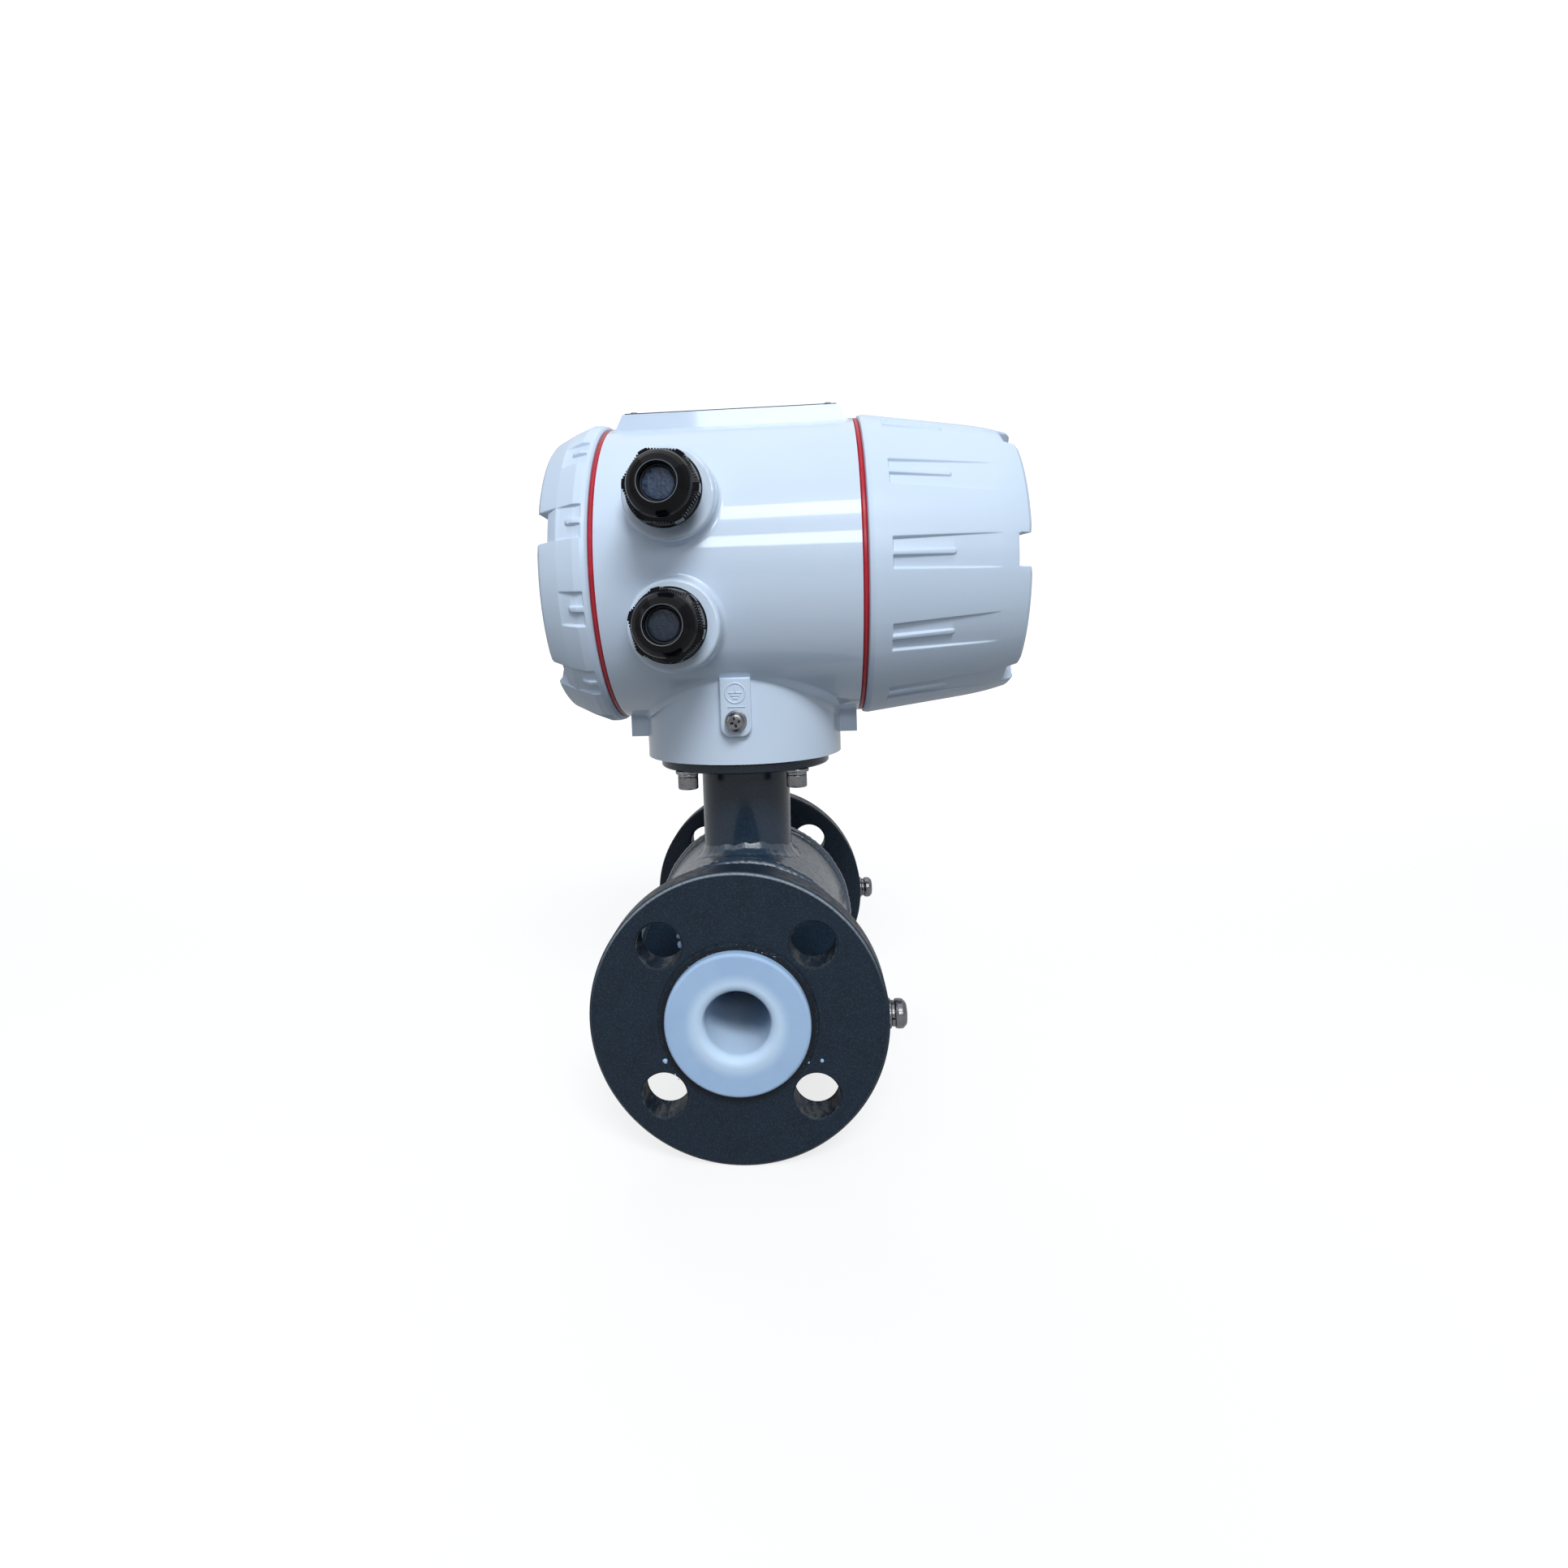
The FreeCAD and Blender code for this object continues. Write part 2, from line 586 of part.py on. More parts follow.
def make_converter_housing():
    body = new_body("converter_housing", z="head_z")
    drum = new_sketch(body, "YZ_Plane")
    draw_circle(drum, "0", "0", "barrel_d / 2")
    add_prism(body, drum, "2 * barrel_half", both=True)
    collar = new_sketch(body, "XY_Plane", lift="collar_z - head_z")
    draw_circle(collar, "0", "0", "collar_d / 2")
    add_prism(body, collar, "60")
    add_name_pad(body)
    bosses = new_sketch(body, "XZ_Plane", lift="boss_root")
    for sign in ("", "-"):
        draw_circle(bosses, "gland_x", f"{sign}gland_rise", "boss_d / 2")
    add_prism(body, bosses, "boss_front - boss_root")
    add_lugs(body)
    soften_housing(body)
    add_tongue(body)
    hollow_housing(body)
    drill_housing(body)


def add_name_pad(body):
    sketch = new_sketch(body, "XZ_Plane")
    draw_loop(sketch, [("-pad_half_foot", "pad_foot"), ("-pad_half_foot", "pad_shoulder"),
                       ("-pad_half_top", "pad_top"), ("pad_half_top", "pad_top"),
                       ("pad_half_foot", "pad_shoulder"), ("pad_half_foot", "pad_foot")])
    add_prism(body, sketch, "pad_width", both=True)


def add_lugs(body):
    sketch = new_sketch(body, "XY_Plane", lift="-lug_low")
    for sign in ("", "-"):
        draw_loop(sketch, [(f"{sign}lug_in", "-lug_half"), (f"{sign}lug_out", "-lug_half"),
                           (f"{sign}lug_out", "lug_half"), (f"{sign}lug_in", "lug_half")])
    add_prism(body, sketch, "20")


def add_tongue(body):
    sketch = new_sketch(body, "XZ_Plane", lift="collar_d / 2 - 8")
    low = "tongue_low - head_z"
    top = "tongue_top - head_z"
    draw_loop(sketch, [("-tongue_half", top), ("-tongue_half", low),
                       ("tongue_half", low), ("tongue_half", top)])
    add_prism(body, sketch, "tongue_front - collar_d / 2 + 8")
    corner_x = size("tongue_half")
    corner_z = size(low)
    dress_edges(body, "PartDesign::Fillet", "tongue_round",
                lambda edge: is_corner(edge, corner_x, corner_z))
    front = -size("tongue_front")
    dress_edges(body, "PartDesign::Fillet", "0.8", lambda edge: lies_at_front(edge, front))


def is_corner(edge, x, z):
    """A straight edge along Y at either side of the middle."""
    middle = edge.CenterOfMass
    along_y = abs(edge.BoundBox.XLength) < 0.01 and abs(edge.BoundBox.ZLength) < 0.01
    return along_y and abs(abs(middle.x) - x) < 0.01 and abs(middle.z - z) < 0.01


def lies_at_front(edge, y):
    box = edge.BoundBox
    return box.YLength < 0.01 and abs(box.YMin - y) < 0.01


def soften_housing(body):
    """Cast fillets where the collar, bosses, pad and lugs meet the barrel."""
    radius = size("barrel_d / 2")
    rim = size("boss_front")
    inner = size("barrel_half") - 0.01

    def on_barrel(edge):
        if isinstance(edge.Curve, (Part.Line, Part.Circle)):
            return False
        places = [edge.valueAt(edge.FirstParameter + part * (edge.LastParameter - edge.FirstParameter))
                  for part in (0.1, 0.3, 0.5, 0.7, 0.9)]
        return all(abs(math.hypot(p.y, p.z) - radius) < 0.02 and abs(p.x) < inner for p in places)

    dress_edges(body, "PartDesign::Fillet", "2.2", on_barrel)
    dress_edges(body, "PartDesign::Fillet", "1.6", lambda edge: lies_at_front(edge, -rim))


def hollow_housing(body):
    """Rear and front compartments, left open at the ends, and the hollow in the collar."""
    for start, stop in (("-barrel_half - 1", "wall_rear"), ("wall_front", "barrel_half + 1")):
        sketch = new_sketch(body, "YZ_Plane", lift=start)
        draw_circle(sketch, "0", "0", "barrel_bore_d / 2")
        cut_prism(body, sketch, f"{stop} - ({start})", flip=True)
    sketch = new_sketch(body, "XY_Plane", lift="collar_z - head_z")
    draw_circle(sketch, "0", "0", "collar_bore_d / 2")
    cut_prism(body, sketch, "collar_roof - collar_z", flip=True)
    leads = [("lead_hole_x - 2", "0")]
    drill(body, "XY_Plane", "collar_z - head_z", leads, "lead_hole_d / 2", "40", flip=True)


def drill_housing(body):
    glands = [("gland_x", "gland_rise"), ("gland_x", "-gland_rise")]
    drill(body, "XZ_Plane", "boss_front", glands, "gland_thread_d / 2", "boss_front - boss_root + 4")
    reach = "neck_pcd / 2 * cos(45 deg)"
    spots = [(f"{a}({reach})", f"{b}({reach})") for a in ("", "-") for b in ("", "-")]
    drill(body, "XY_Plane", "collar_z - head_z", spots, "3", "14", flip=True)
    drill(body, "XZ_Plane", "tongue_front", [("0", "earth_z - head_z")], "2.5", "12")
    drill(body, "XY_Plane", "-lug_low", [("lock_x", "0"), ("-lock_x", "0")], "2.1", "25", flip=True)
    rivets = [(f"{a}(pad_half_top - 5)", f"{b}(pad_width / 2 - 4)") for a in ("", "-") for b in ("", "-")]
    drill(body, "XY_Plane", "pad_top", rivets, "1", "4")


def make_name_plate():
    """A thin bare plate on the pad, held by four rivets."""
    body = new_body("name_plate", z="head_z")
    spots = [(f"{a}(pad_half_top - 5)", f"{b}(pad_width / 2 - 4)") for a in ("", "-") for b in ("", "-")]
    sketch = new_sketch(body, "XY_Plane", lift="pad_top")
    draw_loop(sketch, [(f"{a}(pad_half_top - 1)", f"{b}(pad_width / 2 - 0.6)")
                       for a, b in (("", ""), ("-", ""), ("-", "-"), ("", "-"))])
    for x, y in spots:
        draw_circle(sketch, x, y, "1")
    add_prism(body, sketch, "0.6")
    rivets = new_body("name_plate_rivets", z="head_z")
    for x, y in spots:
        shank = new_sketch(rivets, "XY_Plane", lift="pad_top - 3.5")
        draw_circle(shank, x, y, "0.98")
        add_prism(rivets, shank, "4.1")
        head = new_sketch(rivets, "XY_Plane", lift="pad_top + 0.6")
        draw_circle(head, x, y, "2")
        add_prism(rivets, head, "1.1")
    top = size("pad_top + 1.7")
    dress_edges(rivets, "PartDesign::Fillet", "0.8", lambda edge: is_circle(edge, 2.0, top))


def turn_pan_head(body, seat, head_d, head_len, shank_d, shank_len):
    """A pan-head screw along the body's Z axis, with the underside of its head at seat."""
    top = f"{seat} + {head_len}"
    add_turned(body, [
        ("0", f"{seat} - {shank_len}"), (f"{shank_d} / 2", f"{seat} - {shank_len}"), (f"{shank_d} / 2", seat),
        (f"{head_d} / 2 - 0.2", seat), (f"{head_d} / 2", f"{seat} + {head_len} * 0.3"),
        (f"{head_d} / 2 - 0.25", f"{seat} + {head_len} * 0.65"),
        (f"{head_d} / 2 * 0.78", f"{seat} + {head_len} * 0.9"),
        (f"{head_d} / 2 * 0.45", top), ("0", top)])
    for wide, tall in ((f"{head_d} * 0.54", "0.9"), ("0.9", f"{head_d} * 0.54")):
        sketch = new_sketch(body, "XY_Plane", lift=top)
        draw_loop(sketch, rectangle("0", "0", wide, tall))
        cut_prism(body, sketch, f"{head_len} * 0.55")


def make_earth_screw():
    """The screw M5 on the earth tongue, over a spring washer and a flat washer."""
    face = "tongue_front"
    ring("earth_washer", "2.6", "5", face, face + " + 1", TO_INLET, z="earth_z")
    ring("earth_spring_washer", "2.6", "4.4", face + " + 1", face + " + 2.3", TO_INLET, z="earth_z")
    screw = new_body("earth_screw", TO_INLET, z="earth_z")
    turn_pan_head(screw, face + " + 2.3", "9.2", "3.4", "4.9", "10")


def make_flange_screws():
    """The earth screws M6 on the rims of both flanges, each over two washers."""
    spacing = "face_to_face - 2 * (flare_len + raised_len) - flange_len"
    y = f"-({spacing}) / 2"
    for node, outer, low, high in (("flange_earth_washers", "6", "spot_x", "spot_x + 1.2"),
                                   ("flange_earth_spring_washers", "5.2", "spot_x + 1.2", "spot_x + 2.9")):
        body = new_body(node, TO_FRONT, y=y)
        disc = add_turned(body, [("3.1", low), (outer, low), (outer, high), ("3.1", high)])
        repeat_along(body, [disc], spacing)
    screws = new_body("flange_earth_screws", TO_FRONT, y=y)
    turn_pan_head(screws, "spot_x + 2.9", "12", "5", "5.9", "12.5")
    kinds = ("PartDesign::Revolution", "PartDesign::Pocket")
    features = [item for item in screws.Group if item.TypeId in kinds]
    repeat_along(screws, features, spacing)


def make_lock_screws():
    """Set screws M4 that lock the covers, from below through the lugs."""
    body = new_body("cover_lock_screws", DOWNWARD, z="head_z")
    for sign in ("", "-"):
        sketch = new_sketch(body, "XY_Plane", lift="barrel_bore_d / 2 + 0.4")
        draw_circle(sketch, f"{sign}lock_x", "0", "2")
        add_prism(body, sketch, "lug_low - barrel_bore_d / 2 - 1.6")
        socket = new_sketch(body, "XY_Plane", lift="lug_low - 1.2")
        corners = [(f"{sign}lock_x + 1.1 * cos({step * 60} deg)", f"1.1 * sin({step * 60} deg)")
                   for step in range(6)]
        draw_loop(socket, corners)
        cut_prism(body, socket, "2")


# ---------------------------------------------------------------- covers

def cover_pockets(body, start, rib_end, stop, floor_start, floor_stop):
    """Shallow pockets round a cover, each with a rib along the first part of its middle.

    The floor runs straight from floor_start to floor_stop, so it meets the tapering skin.
    """
    slope = f"(({floor_stop}) - ({floor_start})) / (({stop}) - ({start}))"
    floor_rib = f"{floor_start} + {slope} * (({rib_end}) - ({start}))"
    high = "barrel_d / 2 + 6"
    wide = cut_turned(body, [(floor_rib, rib_end), (floor_stop, stop), (high, stop), (high, rib_end)],
                      angle="pocket_angle")
    lane = "(pocket_angle - pocket_rib_angle) / 2"
    side = "(pocket_angle + pocket_rib_angle) / 4"
    lanes = []
    for sign in ("", "-"):
        corners = [(floor_start, start), (floor_rib, rib_end), (high, rib_end), (high, start)]
        lanes.append(cut_turned(body, corners, roll=f"{sign}({side})", angle=lane))
    repeat_around(body, [wide] + lanes, "pockets")


def cover_notches(body, end, depth):
    """Square spanner notches in a cover's outer rim."""
    sketch = new_sketch(body, "XY_Plane", lift=end)
    half = "notch_width / 2"
    draw_loop(sketch, [("-" + half, "-90"), (half, "-90"), (half, "-40"), ("-" + half, "-40")])
    repeat_around(body, [cut_prism(body, sketch, depth)], "notches")


def make_rear_cover():
    """The short blind cover over the terminals."""
    turn = TO_REAR.multiply(FreeCAD.Rotation(FreeCAD.Vector(0, 0, 1), size("rear_roll")))
    body = new_body("rear_cover", turn, z="head_z")
    seat = "barrel_half + seal_gap"
    skirt = "barrel_bore_d / 2 - skirt_clear"
    end = "rear_end"
    add_turned(body, [
        (skirt + " - skirt_wall", "skirt_root"), (skirt, "skirt_root"), (skirt, seat), ("72.6", seat),
        ("74.2", seat + " + 1"), ("75", seat + " + 3"), ("75", "66.2"), ("71.4", "74.5"),
        ("67", end + " - 1.2"), ("65.6", end), ("55.5", end), ("54.5", end + " - notch_depth"),
        ("0", end + " - notch_depth"), ("0", end + " - notch_depth - 4"),
        ("57", end + " - notch_depth - 4"), ("66.4", "72"), ("68.4", "67"), (skirt + " - skirt_wall", seat)])
    cover_pockets(body, "63", "69", "75.3", "73.5", "70.9")
    cover_notches(body, end, "notch_depth")


def make_front_cover():
    """The long tapered cover, with a flange for the window at its end."""
    body = new_body("front_cover", TO_FRONT, z="head_z")
    seat = "barrel_half + seal_gap"
    skirt = "barrel_bore_d / 2 - skirt_clear"
    end = "front_end"
    ledge = "glass_back + glass_len + glass_seal_len"
    pocket = "glass_d / 2 + 0.3"
    add_turned(body, [
        (skirt + " - skirt_wall", "skirt_root"), (skirt, "skirt_root"), (skirt, seat), ("71.8", seat),
        ("73.1", seat + " + 0.8"), ("73.5", seat + " + 2.2"), ("66", "112"), ("63.9", "122"),
        ("62.2", end + " - 1.6"), ("60.8", end), ("52", end),
        ("window_d / 2 + 1.5", end + " - front_notch_depth"),
        ("window_d / 2", end + " - front_notch_depth - 1"), ("window_d / 2", ledge), (pocket, ledge),
        (pocket, "glass_back - retainer_len - 0.5"), ("60", "glass_back - retainer_len - 4"),
        ("67.5", "68"), (skirt + " - skirt_wall", seat)])
    cover_pockets(body, "70.5", "97.5", "118", "70.4", "64.75")
    cover_notches(body, end, "front_notch_depth")


def make_gasket(node, turn):
    """The red ring clamped between the barrel and a cover."""
    body = new_body(node, turn, z="head_z")
    low = "barrel_half"
    inner = "barrel_bore_d / 2 + 0.3"
    outer = "seal_d / 2"
    add_turned(body, [(inner, low), (outer + " - 0.7", low), (outer, low + " + seal_gap * 0.3"),
                      (outer, low + " + seal_gap * 0.7"), (outer + " - 0.7", low + " + seal_gap"),
                      (inner, low + " + seal_gap")])


def make_window():
    ledge = "glass_back + glass_len"
    ring("window_glass", "0", "glass_d / 2", "glass_back", ledge, TO_FRONT, z="head_z")
    ring("window_seal", "window_d / 2 + 0.5", "glass_d / 2", ledge, ledge + " + glass_seal_len",
         TO_FRONT, z="head_z")
    body = ring("window_retainer", "glass_d / 2 - 6", "glass_d / 2", "glass_back - retainer_len",
                "glass_back", TO_FRONT, z="head_z")
    sketch = new_sketch(body, "XY_Plane", lift="glass_back - retainer_len")
    draw_loop(sketch, [("-2", "-60"), ("2", "-60"), ("2", "-30"), ("-2", "-30")])
    repeat_around(body, [cut_prism(body, sketch, "2.5", flip=True)], "4")


# ---------------------------------------------------------------- display and boards

def rectangle(x, y, wide, tall):
    """Corners of a rectangle about (x, y)."""
    return [(f"{x} {a} ({wide}) / 2", f"{y} {b} ({tall}) / 2")
            for a, b in (("+", "+"), ("-", "+"), ("-", "-"), ("+", "-"))]


KEY_SPOTS = [("key_drop", f"{step} * key_pitch") for step in (-1.5, -0.5, 0.5, 1.5)]


def make_display():
    """The panel behind the window, its screen and four push keys. Local X points down."""
    panel = ring("display_panel", "0", "panel_d / 2", "panel_s", "panel_s + panel_len", TO_FRONT, z="head_z")
    cut = new_sketch(panel, "XY_Plane", lift="panel_s + panel_len")
    draw_loop(cut, rectangle("-8", "0", "screen_height", "screen_width"))
    for x, y in KEY_SPOTS:
        draw_circle(cut, x, y, "key_d / 2 + 0.05")
    cut_prism(panel, cut, "panel_len + 1")
    screen = new_body("display_screen", TO_FRONT, z="head_z")
    sketch = new_sketch(screen, "XY_Plane", lift="display_board_s + board_len")
    draw_loop(sketch, rectangle("-8", "0", "screen_height - 1", "screen_width - 1"))
    add_prism(screen, sketch, "panel_s + panel_len - 0.6 - display_board_s - board_len")
    for index, (x, y) in enumerate(KEY_SPOTS, start=1):
        make_key(f"display_key_{index}", x, y)


def make_key(node, x, y):
    """A push key: a cap through the panel with a flange behind it."""
    body = new_body(node, TO_FRONT, z="head_z")
    top = "panel_s + panel_len + 1.6"
    for radius, low, high in (("key_d / 2 + 1.2", "panel_s - 1.4", "panel_s"),
                              ("key_d / 2", "panel_s - 0.7", top)):
        sketch = new_sketch(body, "XY_Plane", lift=low)
        draw_circle(sketch, x, y, radius)
        add_prism(body, sketch, f"{high} - ({low})")
    edge_radius = size("key_d / 2")
    edge_height = size(top)
    dress_edges(body, "PartDesign::Fillet", "0.6", lambda edge: is_circle(edge, edge_radius, edge_height))


def make_board(node, diameter, start, blocks):
    """A round circuit board with the larger components that stand on it."""
    body = ring(node, "0", diameter + " / 2", start, start + " + board_len", TO_FRONT, z="head_z")
    for x, y, wide, tall, up in blocks:
        sketch = new_sketch(body, "XY_Plane", lift=start + " + board_len - 0.2")
        draw_loop(sketch, rectangle(x, y, wide, tall))
        add_prism(body, sketch, up)
    return body


def make_boards():
    make_board("power_board", "board_d", "power_board_s",
               [("0", "-12", "28", "24", "20"), ("-24", "20", "14", "14", "22"),
                ("20", "22", "12", "20", "12")])
    make_board("main_board", "board_d", "main_board_s",
               [("0", "0", "14", "14", "2"), ("22", "-18", "10", "26", "9"), ("-24", "16", "8", "22", "7")])
    make_board("display_board", "panel_d", "display_board_s", [])
    body = new_body("board_posts", TO_FRONT, z="head_z")
    levels = ["wall_front", "power_board_s", "main_board_s", "display_board_s", "panel_s"]
    posts = []
    for index in range(len(levels) - 1):
        low = levels[index] if index == 0 else levels[index] + " + board_len"
        high = levels[index + 1]
        posts.append(add_turned(body, [("0", low), ("post_d / 2", low), ("post_d / 2", high), ("0", high)],
                                offset="post_pcd / 2"))
    repeat_around(body, posts, "4")


def make_terminals():
    """The terminal block on the rear side of the partition, with its screws."""
    block = new_body("terminal_block", TO_REAR, z="head_z")
    back = "-wall_rear"
    base = new_sketch(block, "XY_Plane", lift=back)
    draw_loop(base, rectangle("0", "0", "22", "84"))
    add_prism(block, base, "11")
    rails = new_sketch(block, "XY_Plane", lift=back + " + 11")
    for step in range(9):
        draw_loop(rails, rectangle("-4", f"{step - 4} * 10", "14", "1.4"))
    add_prism(block, rails, "5")
    screws = new_body("terminal_screws", TO_REAR, z="head_z")
    for step in range(8):
        sketch = new_sketch(screws, "XY_Plane", lift=back + " + 11")
        draw_circle(sketch, "-4", f"{step - 3.5} * 10", "2.8")
        add_prism(screws, sketch, "2.4")


def make_sensor_leads():
    """Four leads from the magnet up the neck and the collar to the power board."""
    leads = doc.addObject("Part::Feature", "sensor_leads")
    leads.Label = "sensor_leads"
    foot = size("yoke_in / 2 + yoke_wall + 1")
    collar = size("collar_z + 8")
    top = size("head_z - board_d / 2 + 3.5")
    across = size("lead_hole_x - 6")
    board = size("power_board_s")
    solids = []
    for y in (-6.0, -2.0, 2.0, 6.0):
        route = [(0, foot), (0, 0.5 * (foot + collar)), (across, collar), (across, top), (board, top)]
        solids.append(round_lead([FreeCAD.Vector(x, y, z) for x, z in route], 1.1))
    leads.Shape = Part.makeCompound(solids)
    PARTS.append(leads)


def round_lead(points, radius):
    """A wire along straight runs joined by tangent arcs."""
    edges = []
    start = points[0]
    for before, corner, after in zip(points, points[1:], points[2:]):
        into = (corner - before).normalize()
        away = (after - corner).normalize()
        reach = 0.45 * min((corner - before).Length, (after - corner).Length)
        enter = corner - into * reach
        leave = corner + away * reach
        half_turn = into.getAngle(away) / 2
        bend = reach / math.tan(half_turn)
        towards = (away - into).normalize()
        centre = corner + towards * (bend / math.cos(half_turn))
        middle = centre - towards * bend
        edges.append(Part.LineSegment(start, enter).toShape())
        edges.append(Part.Arc(enter, middle, leave).toShape())
        start = leave
    edges.append(Part.LineSegment(start, points[-1]).toShape())
    path = Part.Wire(edges)
    direction = (points[1] - points[0]).normalize()
    section = Part.Wire([Part.makeCircle(radius, points[0], direction)])
    return path.makePipeShell([section], True, True)


# ---------------------------------------------------------------- cable glands

def gland_pair(node):
    """A body for what both glands have: its local X is up, so the upper gland is at +X."""
    turn = TO_INLET.multiply(FreeCAD.Rotation(FreeCAD.Vector(0, 0, 1), 90))
    return new_body(node, turn, x="gland_x", z="head_z")


def gland_rings(node, inner, outer, low, high):
    body = gland_pair(node)
    first = add_turned(body, [(inner, low), (outer, low), (outer, high), (inner, high)], offset="gland_rise")
    repeat_around(body, [first], "2")


def hexagon_corners(radius, roll, offset="0"):
    return [(f"{offset} + {radius} * cos({step * 60} deg + {roll} deg)",
             f"{radius} * sin({step * 60} deg + {roll} deg)") for step in range(6)]


def make_gland_bodies():
    """The glands' bodies M20, their gaskets, seals and blanking discs."""
    face = "boss_front"
    body = gland_pair("gland_bodies")
    thread = "gland_thread_d / 2 - 0.05"
    bore_r = "gland_bore_d / 2"
    hexagon = new_sketch(body, "XY_Plane", lift=face + " + 1.2")
    draw_loop(hexagon, hexagon_corners("gland_flats_r", "30", "gland_rise"))
    flats = add_prism(body, hexagon, "6.3")
    stem = add_turned(body, [
        (bore_r, face + " - 14"), (thread, face + " - 14"), (thread, face + " + 3"), ("10.5", face + " + 3"),
        ("10.5", face + " + 20"), ("9", face + " + 21"), (bore_r, face + " + 21")], offset="gland_rise")
    bore = cut_turned(body, [("0", face + " - 20"), (bore_r, face + " - 20"), (bore_r, face + " + 30"),
                             ("0", face + " + 30")], offset="gland_rise")
    repeat_around(body, [flats, stem, bore], "2")
    gland_rings("gland_gaskets", "gland_thread_d / 2", "13.4", face, face + " + 1.2")
    gland_rings("gland_seals", "disc_d / 2 + 0.05", "gland_bore_d / 2 - 0.05", face + " + 8", face + " + 23")
    gland_rings("gland_discs", "0", "disc_d / 2", face + " + 21.4", face + " + 23.6")


def make_gland_nut(name, rise):
    """A domed nut, with a round flange, a hexagon and an opening, and the slip ring in it."""
    spot = {"turn": TO_INLET, "x": "gland_x", "z": f"head_z + {rise}"}
    face = "boss_front"
    ring(name + "_gland_slip_ring", "7.7", "10.4", face + " + 23.3", face + " + 24.2", **spot)
    nut = new_body(name + "_gland_nut", **spot)
    base = face + " + 8.3"
    rim = "nut_flange_r"
    add_turned(nut, [("10.57", base), (rim + " - 0.4", base), (rim, base + " + 0.5"), (rim, base + " + 3.6"),
                     (rim + " - 0.6", base + " + 4.2"), ("nut_dome_r", base + " + 4.2"),
                     ("nut_dome_r", face + " + 20"),
                     ("13", face + " + 22.6"), ("12.2", face + " + 24.6"), ("10.8", face + " + 26.4"),
                     ("9.2", face + " + 27.6"), ("8.2", face + " + 28"), ("7.7", face + " + 27.5"),
                     ("7.6", face + " + 24.3"), ("10.57", face + " + 24.3")])
    hexagon = new_sketch(nut, "XY_Plane", lift=base + " + 4")
    draw_loop(hexagon, hexagon_corners("nut_corner_r", size(name + "_nut_roll")))
    draw_circle(hexagon, "0", "0", "12")
    add_prism(nut, hexagon, "6.5")


# ---------------------------------------------------------------- build and write

make_liner()
drill_liner_for_electrodes()
make_flow_tube()
make_flange("inlet_flange", TO_INLET)
make_flange("outlet_flange", TO_OUTLET)
make_flange_welds()
make_coil_housing()
make_end_plates()
make_housing_welds()
make_magnet()
make_electrodes()
make_neck_tube()
make_neck_weld()
make_neck_plate()
make_neck_screws()
make_flange_screws()
make_converter_housing()
make_name_plate()
make_earth_screw()
make_lock_screws()
make_rear_cover()
make_gasket("rear_gasket", TO_REAR)
make_front_cover()
make_gasket("front_gasket", TO_FRONT)
make_window()
make_display()
make_boards()
make_terminals()
make_sensor_leads()
make_gland_bodies()
make_gland_nut("upper", "gland_rise")
make_gland_nut("lower", "-gland_rise")

doc.recompute()
faults = [thing.Label for thing in doc.Objects if {"Invalid", "Error"} & set(thing.State)]
for part in PARTS:
    if part.Shape.isNull() or not part.Shape.isValid() or not part.Shape.Solids:
        faults.append(part.Label)
if faults:
    raise RuntimeError("failed: " + ", ".join(faults))

os.makedirs("parts", exist_ok=True)
for part in PARTS:
    part.Shape.exportStep(f"parts/{part.Label}.step")
    print(f"{part.Label}: {len(part.Shape.Solids)} solids, {part.Shape.Volume / 1000:.2f} cm3")
print(len(PARTS), "sub-parts")
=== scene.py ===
import json
import math
import bmesh
import bpy
from mathutils import Matrix, Vector, noise


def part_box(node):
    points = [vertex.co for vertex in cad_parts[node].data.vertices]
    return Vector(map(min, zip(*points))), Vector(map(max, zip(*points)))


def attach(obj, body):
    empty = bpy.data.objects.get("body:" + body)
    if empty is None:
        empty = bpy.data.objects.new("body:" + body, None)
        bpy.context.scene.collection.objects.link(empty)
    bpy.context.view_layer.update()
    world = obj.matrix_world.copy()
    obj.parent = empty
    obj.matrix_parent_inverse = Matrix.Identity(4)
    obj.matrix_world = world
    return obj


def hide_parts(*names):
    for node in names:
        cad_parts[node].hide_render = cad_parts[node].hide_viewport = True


# The looks of a flanged electromagnetic flow meter: a dark hammer-finished sensor with a white
# liner, and a pale gloss head with red gaskets and black cable glands. Metres, +Z up, the pipe
# along Y, and the head's barrel along X with its long cover at +X.

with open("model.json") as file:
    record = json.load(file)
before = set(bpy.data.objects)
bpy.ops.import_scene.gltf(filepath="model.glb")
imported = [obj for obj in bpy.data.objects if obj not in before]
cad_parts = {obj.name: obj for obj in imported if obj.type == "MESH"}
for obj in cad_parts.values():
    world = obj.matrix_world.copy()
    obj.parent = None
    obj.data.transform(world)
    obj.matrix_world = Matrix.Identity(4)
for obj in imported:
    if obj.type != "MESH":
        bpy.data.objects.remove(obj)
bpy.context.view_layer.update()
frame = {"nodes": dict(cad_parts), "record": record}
nodes = frame["nodes"]
scene = bpy.context.scene

MM = 0.001


def middle(node):
    low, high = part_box(node)
    return (low + high) / 2


HEAD = Vector((0, 0, middle("window_glass").z))
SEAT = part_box("front_gasket")[1].x / MM
FRONT_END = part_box("front_cover")[1].x / MM
REAR_END = -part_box("rear_cover")[0].x / MM
GLANDS = {name: middle(name + "_gland_nut") for name in ("upper", "lower")}
FLANGE_FACE = -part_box("inlet_flange")[0].y
FLANGE_RADIUS = (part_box("inlet_flange")[1].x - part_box("inlet_flange")[0].x) / 2

